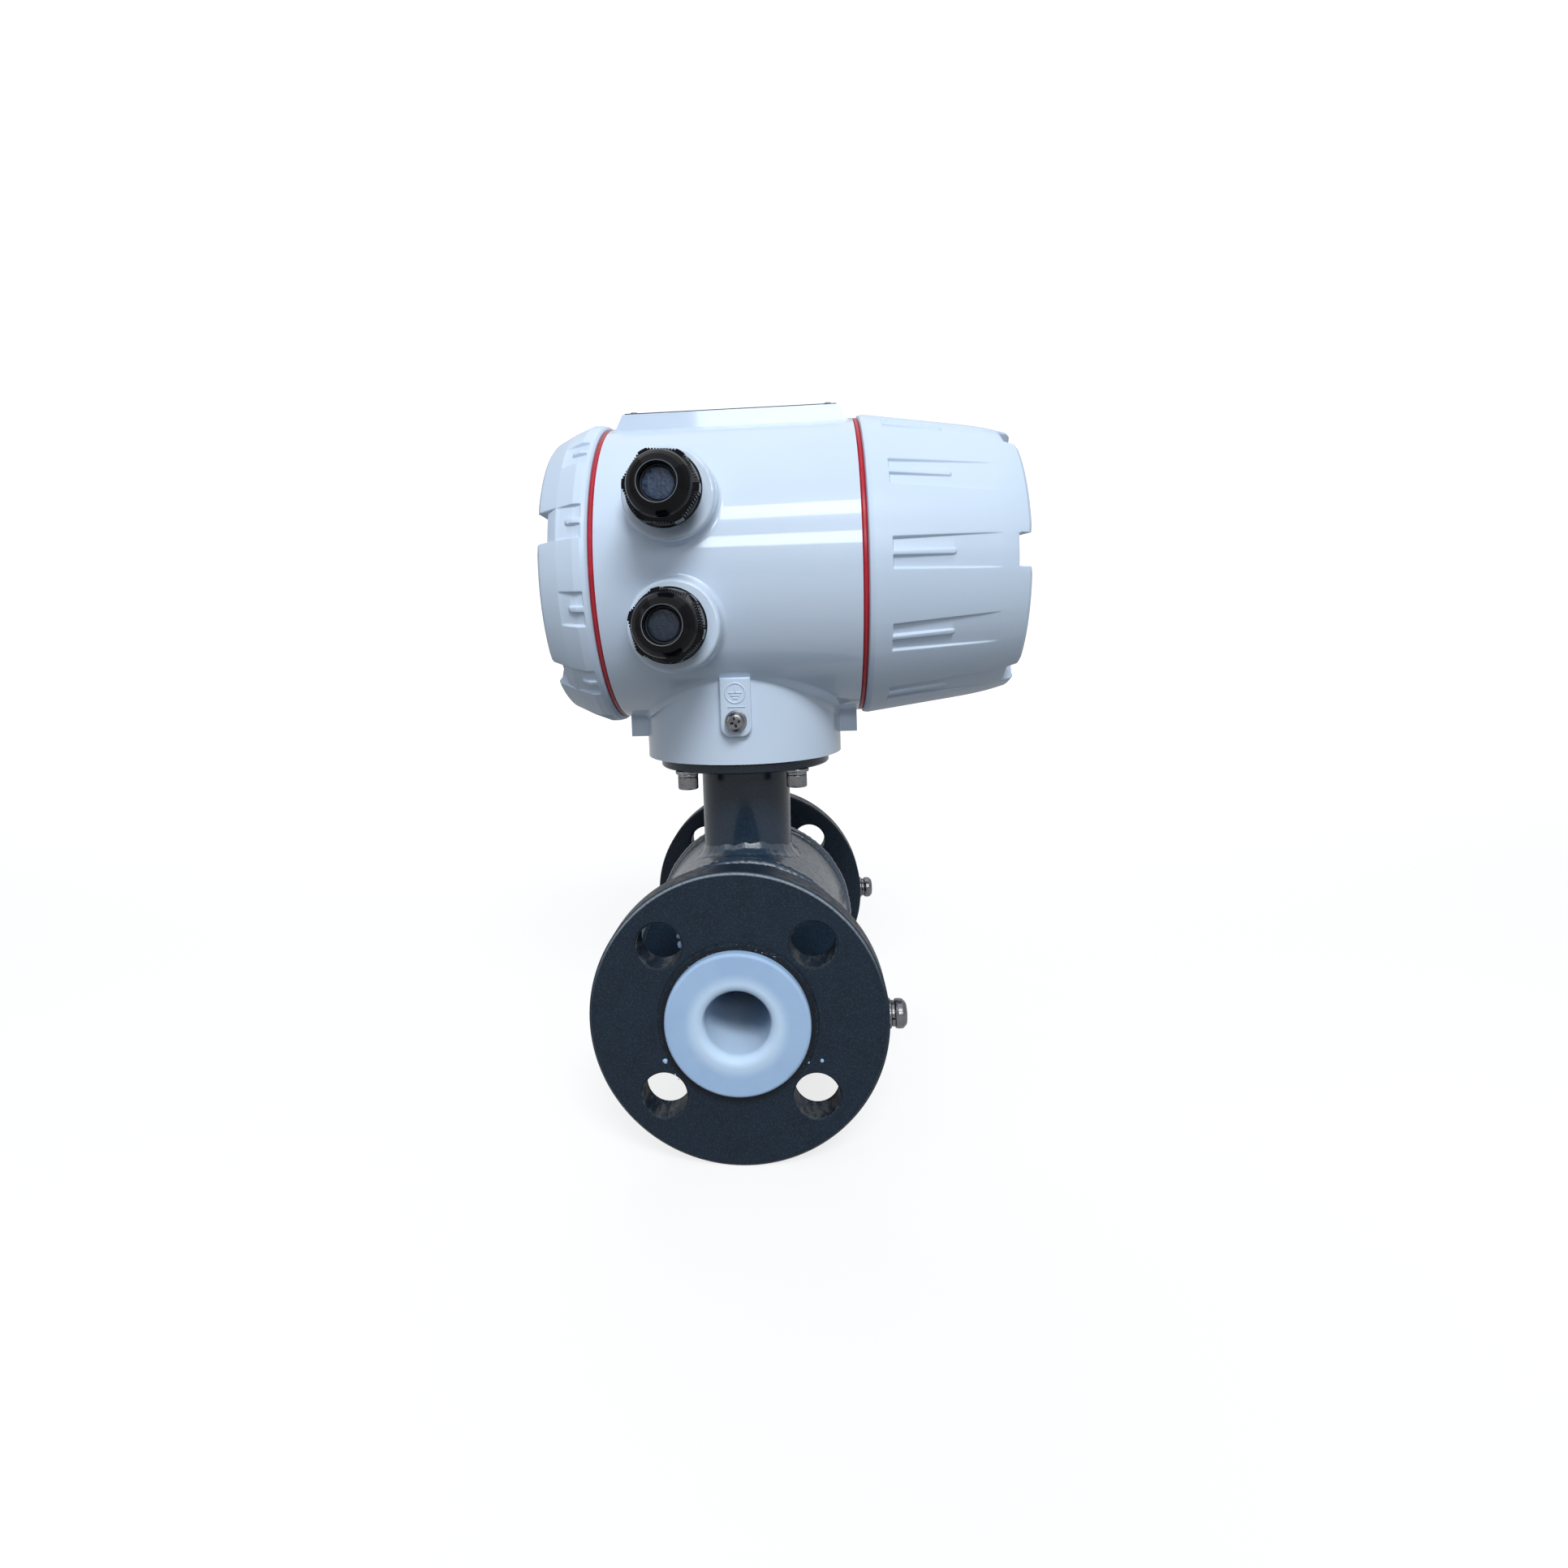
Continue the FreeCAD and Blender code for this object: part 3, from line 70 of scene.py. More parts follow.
# How far each bolt hole is from the pipe's axis, sideways and upward, in millimetres.
MOUNTS = {mount["name"]: mount for mount in frame["record"]["mounts"]}
HOLE = MOUNTS["inlet_bolts"]["dims"]["pcd_mm"] / 2 * math.cos(math.radians(45))


# ---------------- node materials

class Finish:
    """A node material under construction, which keeps its colour and its relief so far."""

    def __init__(self, name, colour, roughness, metallic=0.0, **fixed):
        self.colour = colour
        self.normal = None
        self.material = bpy.data.materials.new(name)
        self.material.use_nodes = True
        self.material.diffuse_color = (*colour, 1)
        self.nodes = self.material.node_tree.nodes
        self.links = self.material.node_tree.links
        self.shader = self.nodes["Principled BSDF"]
        self.place = self.nodes.new("ShaderNodeTexCoord").outputs["Object"]
        self.into("Base Color", colour).into("Roughness", roughness).into("Metallic", metallic)
        for socket, value in fixed.items():
            self.into(socket.replace("_", " ").title().replace("Ior", "IOR"), value)

    def put(self, socket, value):
        """Links a socket, or sets it where the value is a plain number or colour."""
        if isinstance(value, bpy.types.NodeSocket):
            self.links.new(value, socket)
        elif isinstance(value, tuple) and len(value) == 3 and len(socket.default_value) == 4:
            socket.default_value = (*value, 1)
        else:
            socket.default_value = value

    def into(self, name, value):
        self.put(self.shader.inputs[name], value)
        return self

    def calc(self, operation, first, second=0.0):
        node = self.nodes.new("ShaderNodeMath")
        node.operation = operation
        self.put(node.inputs[0], first)
        self.put(node.inputs[1], second)
        return node.outputs[0]

    def times(self, first, *others):
        for other in others:
            first = self.calc("MULTIPLY", first, other)
        return first

    def distance(self, first, second):
        """The length of the diagonal over two sides."""
        return self.calc("SQRT", self.calc("ADD", self.times(first, first), self.times(second, second)))

    def waves(self, value, length):
        """A sine between -1 and 1 that repeats every length metres."""
        return self.calc("SINE", self.times(value, 2 * math.pi / length))

    def axes(self):
        """The x, y and z of a point in the object's frame."""
        node = self.nodes.new("ShaderNodeSeparateXYZ")
        self.put(node.inputs[0], self.place)
        return node.outputs[:3]

    def noise(self, size, detail=2.0, rough=0.5, stretch=None):
        """Noise whose blotches are about size metres across."""
        node = self.nodes.new("ShaderNodeTexNoise")
        self.put(node.inputs["Vector"], self.stretched(stretch))
        node.inputs["Scale"].default_value = 1 / size
        node.inputs["Detail"].default_value = detail
        node.inputs["Roughness"].default_value = rough
        return node.outputs["Fac"]

    def cells(self, size, stretch=None):
        node = self.nodes.new("ShaderNodeTexVoronoi")
        self.put(node.inputs["Vector"], self.stretched(stretch))
        node.inputs["Scale"].default_value = 1 / size
        return node.outputs["Distance"]

    def stretched(self, stretch):
        if stretch is None:
            return self.place
        node = self.nodes.new("ShaderNodeMapping")
        self.put(node.inputs["Vector"], self.place)
        node.inputs["Scale"].default_value = stretch
        return node.outputs[0]

    def remap(self, value, low, high, to_low=0.0, to_high=1.0):
        """Moves a value smoothly from to_low, where it is low, to to_high, where it is high."""
        node = self.nodes.new("ShaderNodeMapRange")
        node.interpolation_type = "SMOOTHSTEP"
        for socket, given in zip(node.inputs, (value, low, high, to_low, to_high)):
            self.put(socket, given)
        return node.outputs[0]

    def mask(self, size, detail=3, rough=0.5, low=0.3, high=0.7, stretch=None):
        """Noise as a mask: 0 where it is low, 1 where it is high."""
        return self.remap(self.noise(size, detail, rough, stretch), low, high)

    def blend(self, share, first, second):
        node = self.nodes.new("ShaderNodeMix")
        node.data_type = "RGBA"
        self.put(node.inputs["Factor"], share)
        self.put(node.inputs[6], first)
        self.put(node.inputs[7], second)
        return node.outputs[2]

    def layer(self, mask, colour, share=1.0):
        """Covers the colour so far with a share of another where the mask is 1."""
        if share < 1.0:
            mask = self.times(mask, share)
        self.colour = self.blend(mask, self.colour, colour)
        return self.into("Base Color", self.colour)

    def gloss(self, size, low, high, detail=3):
        """Lets the roughness wander between low and high."""
        return self.into("Roughness", self.remap(self.noise(size, detail), 0.3, 0.7, low, high))

    def bump(self, height, distance, strength):
        """Adds relief to the relief so far."""
        node = self.nodes.new("ShaderNodeBump")
        self.put(node.inputs["Height"], height)
        node.inputs["Distance"].default_value = distance
        node.inputs["Strength"].default_value = strength
        if self.normal is not None:
            self.put(node.inputs["Normal"], self.normal)
        self.normal = node.outputs[0]
        return self.into("Normal", self.normal)


def scaled(colour, factor, plus=0.0):
    return tuple(min(1.0, factor * part + plus) for part in colour)


def head_paint(name, gloss, coat, coat_gloss):
    """Pale bluish-white enamel over a casting, with a faint ripple under the gloss."""
    paint = Finish(name, (0.56, 0.66, 0.80), gloss,
                   coat_weight=coat, coat_roughness=coat_gloss, coat_ior=1.6)
    paint.layer(paint.mask(0.05), (0.575, 0.675, 0.81))
    dust = paint.mask(0.0011, 2, 0.6, 0.74, 0.79)
    paint.layer(dust, (0.47, 0.49, 0.52), 0.35)
    paint.gloss(0.02, gloss - 0.02, gloss + 0.03)
    paint.bump(paint.noise(0.006, 2, 0.4), 0.00012, 0.5)
    return paint.bump(paint.noise(0.0012), 0.00003, 0.35).material


def hammer_paint(name, gloss, bright, coat, shine=0.25):
    """Dark blue-grey enamel with a fine metallic fleck, still without relief."""
    base = scaled((0.0072, 0.0138, 0.0238), bright)
    paint = Finish(name, base, gloss, coat_weight=coat, coat_roughness=0.14, specular_ior_level=shine)
    paint.layer(paint.mask(0.012), scaled(base, 1.4))
    grain = paint.mask(0.00042, 2, 0.6, 0.36, 0.66)
    paint.layer(grain, scaled(base, 2.6), 0.6)
    fleck = paint.mask(0.00055, 2, 0.6, 0.52, 0.68)
    paint.layer(fleck, (0.034, 0.05, 0.07), 0.75)
    dark = paint.mask(0.0007, 2, 0.6, 0.4, 0.28)
    paint.layer(dark, (0.003, 0.005, 0.008), 0.6)
    return paint.gloss(0.003, gloss - 0.07, gloss + 0.1)


def sensor_paint():
    """The enamel over a hammered skin."""
    paint = hammer_paint("sensor_paint", 0.27, 1.35, 0.6)
    paint.bump(paint.noise(0.0011), 0.0001, 0.3)
    return paint.bump(paint.noise(0.006), 0.0003, 0.18).material


def weld_paint():
    """The same enamel where it has pooled over a rough weld bead, its colour painted lighter as a highlight
    along the bead.
    """
    paint = hammer_paint("weld_paint", 0.2, 2.0, 1.0, 1.0)
    paint.bump(paint.noise(0.0035, 4, 0.6), 0.0009, 0.6)
    return paint.bump(paint.noise(0.0012), 0.00015, 0.4).material


def flange_paint():
    """Enamel on a turned flange: a painted highlight along the upper rim, black and ragged round the
    liner, and thin over the drill marks inside the bolt holes."""
    paint = hammer_paint("flange_paint", 0.38, 0.85, 0.04)
    x, y, z = paint.axes()
    radius = paint.distance(x, z)

    from_hole = [paint.calc("SUBTRACT", paint.calc("ABSOLUTE", side), HOLE * MM) for side in (x, z)]
    inside = paint.remap(paint.distance(*from_hole), 9.9 * MM, 9.6 * MM)
    worn = paint.mask(0.004, 4, 0.7, 0.45, 0.62, stretch=(1, 0.3, 1))
    paint.layer(paint.times(inside, worn), (0.16, 0.155, 0.15), 0.45)

    waver = paint.remap(paint.noise(0.003, 4, 0.7), 0.2, 0.8, -1.3 * MM, 1.3 * MM)
    near_liner = paint.remap(paint.calc("ADD", radius, waver), 33.2 * MM, 32.2 * MM)
    paint.layer(near_liner, (0.006, 0.007, 0.009), 0.7)

    # Painted highlight: the outer rim is lightened on the upper half only, fading towards the sides.
    rim = paint.remap(radius, FLANGE_RADIUS - 1.5 * MM, FLANGE_RADIUS - 0.9 * MM)
    edge = paint.remap(paint.calc("ABSOLUTE", y), FLANGE_FACE - 2.0 * MM, FLANGE_FACE - 1.5 * MM)
    upper = paint.remap(z, 5 * MM, 50 * MM)
    uneven = paint.remap(paint.noise(0.0012, 3, 0.7), 0.2, 0.6, 0.4, 1.0)
    paint.layer(paint.times(rim, edge, upper, uneven), (0.3, 0.35, 0.4), 0.75)

    # Chipped paint round the liner, kept to the upper side, where the light flecks are also painted glints.
    chips_and_glints = paint.mask(0.0014, 4, 0.75, 0.63, 0.68)
    chips_and_glints = paint.times(chips_and_glints, paint.remap(z, 10 * MM, 26 * MM), near_liner)
    paint.layer(chips_and_glints, (0.5, 0.52, 0.54), 0.6)

    drilled = paint.waves(y, 1.15 * MM)
    paint.bump(paint.noise(0.0011), 0.0001, 0.45)
    paint.bump(paint.times(drilled, inside), 0.00016, 0.8)
    rough = paint.noise(0.0016, 4, 0.7)
    return paint.bump(paint.times(rough, near_liner), 0.0006, 0.8).material


def red_rubber():
    rubber = Finish("red_rubber", (0.37, 0.008, 0.02), 0.32, coat_weight=0.15, coat_roughness=0.2)
    rubber.layer(rubber.mask(0.008), (0.45, 0.012, 0.027))
    rubber.gloss(0.004, 0.28, 0.42)
    return rubber.bump(rubber.noise(0.002), 0.0001, 0.25).material


def moulded_nylon(name, base, gloss):
    """Glossy nylon with faint flow marks and dust."""
    nylon = Finish(name, base, gloss, specular_ior_level=0.2)
    dust = nylon.mask(0.0012, 3, 0.7, 0.66, 0.78)
    nylon.layer(dust, (0.05, 0.053, 0.058), 0.3)
    nylon.gloss(0.006, gloss - 0.03, gloss + 0.04, 4)
    return nylon.bump(nylon.noise(0.0015), 0.00005, 0.3).material


def disc_rubber():
    """Matt blue-grey rubber with a pebbled face, with painted shade darkening the lower disc."""
    rubber = Finish("disc_rubber", (0.015, 0.026, 0.053), 0.42)
    rubber.layer(rubber.mask(0.002, 4, 0.7), (0.038, 0.066, 0.12))
    # Painted shade: the disc below the head's axis gets a darker colour.
    lower = rubber.remap(rubber.axes()[2], HEAD.z + 0.01, HEAD.z - 0.01)
    rubber.layer(lower, (0.005, 0.008, 0.016), 0.72)
    rubber.gloss(0.001, 0.32, 0.55)
    return rubber.bump(rubber.noise(0.0007, 3, 0.6), 0.00025, 0.6).material


def white_liner():
    """Waxy white fluoropolymer, a little translucent, with a painted highlight round the bore,
    painted shade high inside the bore, and faint turning marks on its face."""
    liner = Finish("white_liner", (0.35, 0.50, 0.725), 0.42, subsurface_weight=0.12, subsurface_scale=0.004)
    x, y, z = liner.axes()
    radius = liner.distance(x, z)
    liner.layer(liner.mask(0.012), (0.375, 0.53, 0.75))
    # Painted highlight: paler towards the bore, where the funnel catches the light.
    liner.layer(liner.remap(radius, 22.5 * MM, 17 * MM), (0.55, 0.70, 0.88))
    # Painted shade: darker high inside the bore, whose upper wall faces down, away from the light.
    roof_shade = liner.times(liner.remap(z, -3 * MM, 8 * MM), liner.remap(radius, 15 * MM, 13.8 * MM))
    liner.layer(roof_shade, (0.09, 0.15, 0.26))
    nicks = liner.mask(0.0016, 3, 0.7, 0.72, 0.78)
    liner.layer(nicks, (0.85, 0.89, 0.93), 0.5)
    liner.gloss(0.006, 0.36, 0.52)
    liner.bump(liner.waves(radius, 0.9 * MM), 0.00001, 0.25)
    return liner.bump(liner.noise(0.004, 3), 0.00025, 0.25).material


def plated(name, colour, roughness):
    """Bright plated metal with fine scratches and duller patches."""
    metal = Finish(name, colour, roughness, metallic=1.0)
    metal.layer(metal.mask(0.003, 4, 0.6, 0.35, 0.7), scaled(colour, 0.62), 0.6)
    metal.gloss(0.0008, roughness * 0.7, roughness * 1.7, 4)
    scratches = metal.noise(0.0008, 3, 0.6, stretch=(1, 1, 4))
    return metal.bump(scratches, 0.00004, 0.4).material


def name_plate_metal():
    """A dark blank plate, brushed along its length."""
    plate = Finish("name_plate_metal", (0.03, 0.036, 0.048), 0.34, metallic=0.6)
    brushed = plate.noise(0.0007, 3, 0.6, stretch=(0.03, 1, 1))
    plate.layer(plate.remap(brushed, 0.3, 0.7), (0.055, 0.064, 0.082))
    plate.into("Roughness", plate.remap(brushed, 0.3, 0.7, 0.28, 0.45))
    return plate.bump(brushed, 0.00003, 0.5).material


def plain_plastic(name, colour, roughness, depth=0.00006):
    """A moulded or painted surface with slight mottling and a fine skin."""
    plastic = Finish(name, colour, roughness)
    plastic.layer(plastic.mask(0.006), scaled(colour, 1.2, 0.004))
    plastic.gloss(0.003, roughness * 0.85, roughness * 1.2)
    return plastic.bump(plastic.noise(0.0009, 3), depth, 0.5).material


def board_laminate():
    """Green circuit board, with faint paler patches."""
    board = Finish("board_laminate", (0.012, 0.09, 0.04), 0.35)
    patches = board.remap(board.cells(0.004, (1, 1, 0.25)), 0.5, 0.6)
    board.layer(patches, (0.02, 0.15, 0.07))
    board.gloss(0.004, 0.3, 0.45)
    return board.bump(patches, 0.00004, 0.5).material


def window_glass():
    glass = Finish("window_glass", (0.93, 0.97, 0.96), 0.02, transmission_weight=0.92, ior=1.48)
    return glass.bump(glass.noise(0.02), 0.00002, 0.2).material


def copper_winding():
    """Enamelled wire in even turns round a vertical core, with painted shade between the turns and a
    painted highlight on each.
    """
    wire = Finish("copper_winding", (0.55, 0.2, 0.08), 0.32, metallic=1.0)
    turns = wire.waves(wire.axes()[2], 0.6 * MM)
    wire.into("Base Color", wire.blend(wire.remap(turns, -1, 1), (0.3, 0.09, 0.03), (0.62, 0.24, 0.1)))
    return wire.bump(turns, 0.0001, 0.9).material


MATERIALS = {
    "head": head_paint("head_paint", 0.3, 1.0, 0.06),
    "cover": head_paint("cover_paint", 0.42, 0.35, 0.24),
    "sensor": sensor_paint(),
    "flange": flange_paint(),
    "weld": weld_paint(),
    "red": red_rubber(),
    "nylon": moulded_nylon("black_nylon", (0.003, 0.003, 0.0045), 0.08),
    # A lighter nylon, used for painted highlights on the gland nuts.
    "nylon_highlight": moulded_nylon("nylon_painted_highlight", (0.13, 0.14, 0.16), 0.28),
    "disc": disc_rubber(),
    "liner": white_liner(),
    "zinc": plated("bright_zinc", (0.31, 0.31, 0.325), 0.17),
    "steel": plated("dull_steel", (0.40, 0.40, 0.41), 0.3),
    "inner_steel": plated("inner_steel", (0.42, 0.42, 0.42), 0.4),
    "plate": name_plate_metal(),
    "black_rubber": plain_plastic("black_rubber", (0.012, 0.012, 0.014), 0.6),
    "glass": window_glass(),
    "panel": plain_plastic("display_panel_grey", (0.03, 0.034, 0.042), 0.45),
    "screen": plain_plastic("screen_grey_green", (0.23, 0.29, 0.2), 0.16, depth=0.00001),
    "keys": plain_plastic("key_rubber", (0.16, 0.18, 0.2), 0.6),
    "board": board_laminate(),
    "terminal": plain_plastic("terminal_green", (0.02, 0.13, 0.07), 0.4),
    "copper": copper_winding(),
    "white_plastic": plain_plastic("white_plastic", (0.66, 0.66, 0.63), 0.5),
}

DRESSED = {
    "head": ["converter_housing"],
    "sensor": ["flow_tube", "coil_housing", "housing_end_plates", "neck_tube", "neck_plate",
               "flange_welds"],
    "flange": ["inlet_flange", "outlet_flange"],
    "liner": ["tube_liner"],
    "red": ["front_gasket", "rear_gasket"],
    "black_rubber": ["neck_gasket", "window_seal", "gland_seals", "gland_gaskets"],
    "nylon": ["gland_bodies", "upper_gland_slip_ring", "lower_gland_slip_ring"],
    "steel": ["cover_lock_screws", "window_retainer", "name_plate_rivets"],
    "zinc": ["terminal_screws", "electrode_nuts"],
    "inner_steel": ["electrodes", "pole_cores", "flux_yoke", "board_posts"],
    "plate": ["name_plate"],
    "glass": ["window_glass"],
    "panel": ["display_panel"],
    "screen": ["display_screen"],
    "keys": [f"display_key_{k}" for k in range(1, 5)],
    "board": ["power_board", "main_board", "display_board"],
    "terminal": ["terminal_block"],
    "copper": ["field_coils"],
    "white_plastic": ["electrode_sleeves", "sensor_leads"],
}


for finish, names in DRESSED.items():
    for node in names:
        slots = nodes[node].data.materials
        slots.clear()
        slots.append(MATERIALS[finish])


# ---------------- mesh helpers

BODIES = frame["record"]["behaviour"]["bodies"]
BODY_OF = {node: body for body, members in BODIES.items() for node in members}

# A thing is turned about an axis, from a zero direction toward a quarter-turn direction.
X, Y, Z = Vector((1, 0, 0)), Vector((0, 1, 0)), Vector((0, 0, 1))
TO_FRONT = (X, -Y, Z)
TO_REAR = (-X, -Y, Z)
TO_INLET = (-Y, X, Z)
DOWN = (-Z, X, -Y)


def new_piece(name, verts, faces, material, angle=35):
    """A mesh object with smooth shading that breaks at edges sharper than angle."""
    mesh = bpy.data.meshes.new(name)
    mesh.from_pydata([tuple(v) for v in verts], [], faces)
    mesh.validate()
    shape = bmesh.new()
    shape.from_mesh(mesh)
    bmesh.ops.remove_doubles(shape, verts=shape.verts, dist=1e-7)
    bmesh.ops.recalc_face_normals(shape, faces=shape.faces)
    shape.to_mesh(mesh)
    shape.free()
    mesh.shade_smooth()
    mesh.set_sharp_from_angle(angle=math.radians(angle))
    mesh.materials.append(MATERIALS[material])
    piece = bpy.data.objects.new(name, mesh)
    scene.collection.objects.link(piece)
    return piece


def stand_for(piece, *cad_nodes):
    """A new piece replaces these nodes, and rides as they do."""
    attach(piece, BODY_OF[cad_nodes[0]])
    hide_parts(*cad_nodes)
    return piece


def rounded(corners, steps=4):
    """A path through (along, out, rounding) corners, with an arc of that radius at each."""
    path = []
    for i, (along, out, radius) in enumerate(corners):
        here = Vector((along, out))
        if radius == 0 or i in (0, len(corners) - 1):
            path.append(here)
            continue
        before = (Vector(corners[i - 1][:2]) - here)
        after = (Vector(corners[i + 1][:2]) - here)
        half = before.angle(after) / 2
        reach = min(radius / math.tan(half), 0.49 * before.length, 0.49 * after.length)
        radius = reach * math.tan(half)
        into = before.normalized()
        away = after.normalized()
        centre = here + (into + away).normalized() * (radius / math.sin(half))
        first = here + into * reach - centre
        last = here + away * reach - centre
        turn = first.angle_signed(last)
        for step in range(steps + 1):
            path.append(centre + Matrix.Rotation(-turn * step / steps, 2) @ first)
    return path


def grid_faces(rows, columns, closed_rows=False, closed_columns=True):
    """Quads over a grid of points stored row by row."""
    faces = []
    for i in range(rows if closed_rows else rows - 1):
        j = (i + 1) % rows
        for k in range(columns if closed_columns else columns - 1):
            m = (k + 1) % columns
            faces.append((i * columns + k, i * columns + m, j * columns + m, j * columns + k))
    return faces


def polar(origin, axes, along, out, angle):
    """The point that is so many millimetres along an axis and out from it, at an angle."""
    axis, zero, quarter = axes
    direction = math.cos(angle) * zero + math.sin(angle) * quarter
    return origin + (axis * along + direction * out) * MM


def turned(origin, axes, path, angles, shape=None, twist=None):
    """Vertices and faces of a closed path turned about an axis, in millimetres from the origin.

    angles is a list, or the number of even steps round the axis.
    shape(along, out, angle) may move a point, and returns its new along and out.
    twist(along, angle) returns the angle that a point is really put at.
    """
    if isinstance(angles, int):
        angles = [2 * math.pi * k / angles for k in range(angles)]
    verts = []
    for along, out in path:
        for angle in angles:
            s, r = shape(along, out, angle) if shape else (along, out)
            verts.append(polar(origin, axes, s, r, twist(along, angle) if twist else angle))
    return verts, grid_faces(len(path), len(angles), closed_rows=True)


def capped(verts, around):
    """Faces that join rings of so many vertices each, and close both ends."""
    total = len(verts)
    faces = grid_faces(total // around, around)
    faces += [tuple(range(around)), tuple(range(total - 1, total - around - 1, -1))]
    return verts, faces


def merge(*parts):
    """Several (vertices, faces) pairs as one."""
    verts, faces = [], []
    for more_verts, more_faces in parts:
        start = len(verts)
        verts.extend(more_verts)
        faces.extend(tuple(i + start for i in face) for face in more_faces)
    return verts, faces


def ease(value, low, high):
    """0 up to low, 1 from high on, and smooth between."""
    t = min(1.0, max(0.0, (value - low) / (high - low)))
    return t * t * (3 - 2 * t)


def bumpy(point, size, seed):
    """Smooth noise between -1 and 1, with lumps of about size metres."""
    return noise.noise(point / size + Vector((seed, -seed, 0.5 * seed)))


def carve(piece, cutter):
    """Cuts one object's shape out of another, and removes the cutter."""
    modifier = piece.modifiers.new("cut", "BOOLEAN")
    modifier.operation = "DIFFERENCE"
    modifier.solver = "EXACT"
    modifier.object = cutter
    bpy.context.view_layer.update()
    ready = piece.evaluated_get(bpy.context.evaluated_depsgraph_get())
    mesh = bpy.data.meshes.new_from_object(ready)
    piece.modifiers.clear()
    piece.data = mesh
    mesh.shade_smooth()
    mesh.set_sharp_from_angle(angle=math.radians(35))
    bpy.data.objects.remove(cutter)


# ---------------- covers

# All in millimetres along the head's axis and out from it. SOFT is how far the edges of
# pockets and ribs are eased to either side.
POCKETS = 12
NOTCHES = 6
NOTCH_HALF = 7.1
SKIRT_START = 44.0
SKIRT_INSIDE = 61.6
SKIRT = 65.95
THREAD_PITCH = 3.0
THREAD_DEPTH = 0.55
SOFT = 0.38


def sector_angles(first, edges):
    """Angles round a cover, dense at the edges of its pockets, ribs and notches."""
    sector = 2 * math.pi / POCKETS
    soft = math.radians(0.4)
    marks = {sector * (k / 6 - 0.5) for k in range(6)}
    for edge in edges:
        for step in (-1.0, -0.5, 0.0, 0.5, 1.0):
            marks.update((edge + step * soft, -edge - step * soft))
    inside = sorted(m for m in marks if -sector / 2 <= m < sector / 2 - 1e-4)
    spaced = [inside[0]]
    for mark in inside[1:]:
        if mark - spaced[-1] > math.radians(0.12):
            spaced.append(mark)
    return [first + sector * k + mark for k in range(POCKETS) for mark in spaced]


def nearest(angle, first, count):
    """The signed angle to the nearest of count features, the first of them at first."""
    step = 2 * math.pi / count
    return (angle - first + step / 2) % step - step / 2


def through(*points):
    """Straight lines through (along, out) points, as a function that gives out."""
    def radius(along):
        for (low, first), (high, last) in zip(points, points[1:]):
            if along <= high:
                return first + (last - first) * (along - low) / (high - low)
        return points[-1][1]
    return radius


def cover_shape(first, skin, floor, start, stop, half, rib_end, rib_half, rib_radius, end,
                notch_depth, rim_inside):
    """The function that presses pockets, ribs, notches and a thread into a plain turned cover."""
    def pocket_share(along, across):
        """How deep into a pocket a point is, from 0 on the skin to 1 on the floor."""
        side = ease(half - abs(across), -SOFT, SOFT)
        ends = ease(along - start, -0.3, 0.3) * ease(stop - along, 0.0, 0.5)
        reach = max(along - (rib_end - rib_half), 0.0)
        from_rib = math.hypot(reach, across) - rib_half
        return side * ends * ease(from_rib, -SOFT, SOFT)

    def shape(along, out, angle):
        on_skin = out > skin(along) - 0.4 and along > SEAT + 2
        if on_skin and start - 1 < along < stop + 1:
            across = nearest(angle, first, POCKETS) * rib_radius
            out -= pocket_share(along, across) * max(0.0, skin(along) - floor(along))
        notch_floor = end - notch_depth
        if along > notch_floor and out > rim_inside:
            away = abs(nearest(angle, first, NOTCHES)) * out - NOTCH_HALF
            lift = ease(away, -0.12, 0.12) - 0.07 * (1 - ease(away, 0.1, 0.9))
            along = notch_floor + (along - notch_floor) * max(0.0, lift)
        if along < SEAT and out > SKIRT - 0.1:
            turns = along / THREAD_PITCH - angle / (2 * math.pi)
            out -= THREAD_DEPTH * abs(2 * (turns % 1) - 1)
        return along, out
    return shape


def pocket_twist(start, stop, half, first, last):
    """Widens pockets from first to last times their half angle, and leaves the rest alone."""
    def twist(along, angle):
        if along < start - 2 or along > stop + 5:
            return angle
        off = nearest(angle, 0.0, POCKETS)
        share = min(1.0, max(0.0, (along - start) / (stop - start)))
        fade = ease(along, start - 2, start - 0.5) * (1 - ease(along, stop + 1, stop + 5))
        wide = 1 + (first + (last - first) * share - 1) * fade
        if abs(off) <= half:
            return angle - off + off * wide
        edge = math.pi / POCKETS
        beyond = (abs(off) - half) / (edge - half)
        return angle - off + math.copysign(half * wide + (edge - half * wide) * beyond, off)
    return twist


def dense(path, spans):
    """A path with points added, so that it has no longer steps inside a span than are asked for.

    A span is a range along the axis, a step, and the radius outside which it counts.
    """
    result = [path[0]]
    for before, after in zip(path, path[1:]):
        shares = {1.0}
        run = after.x - before.x
        for low, high, step, outer in spans:
            if abs(run) > 1e-6 and min(before.y, after.y) > outer:
                ends = ((edge - before.x) / run for edge in (low, high))
                first, last = sorted(min(1.0, max(0.0, end)) for end in ends)
                cuts = math.ceil((last - first) * (after - before).length / step)
                shares.update(round(first + (last - first) * k / cuts, 4)
                              for k in range(cuts + 1) if cuts)
        result.extend(before.lerp(after, share) for share in sorted(shares - {0.0}))
    return result


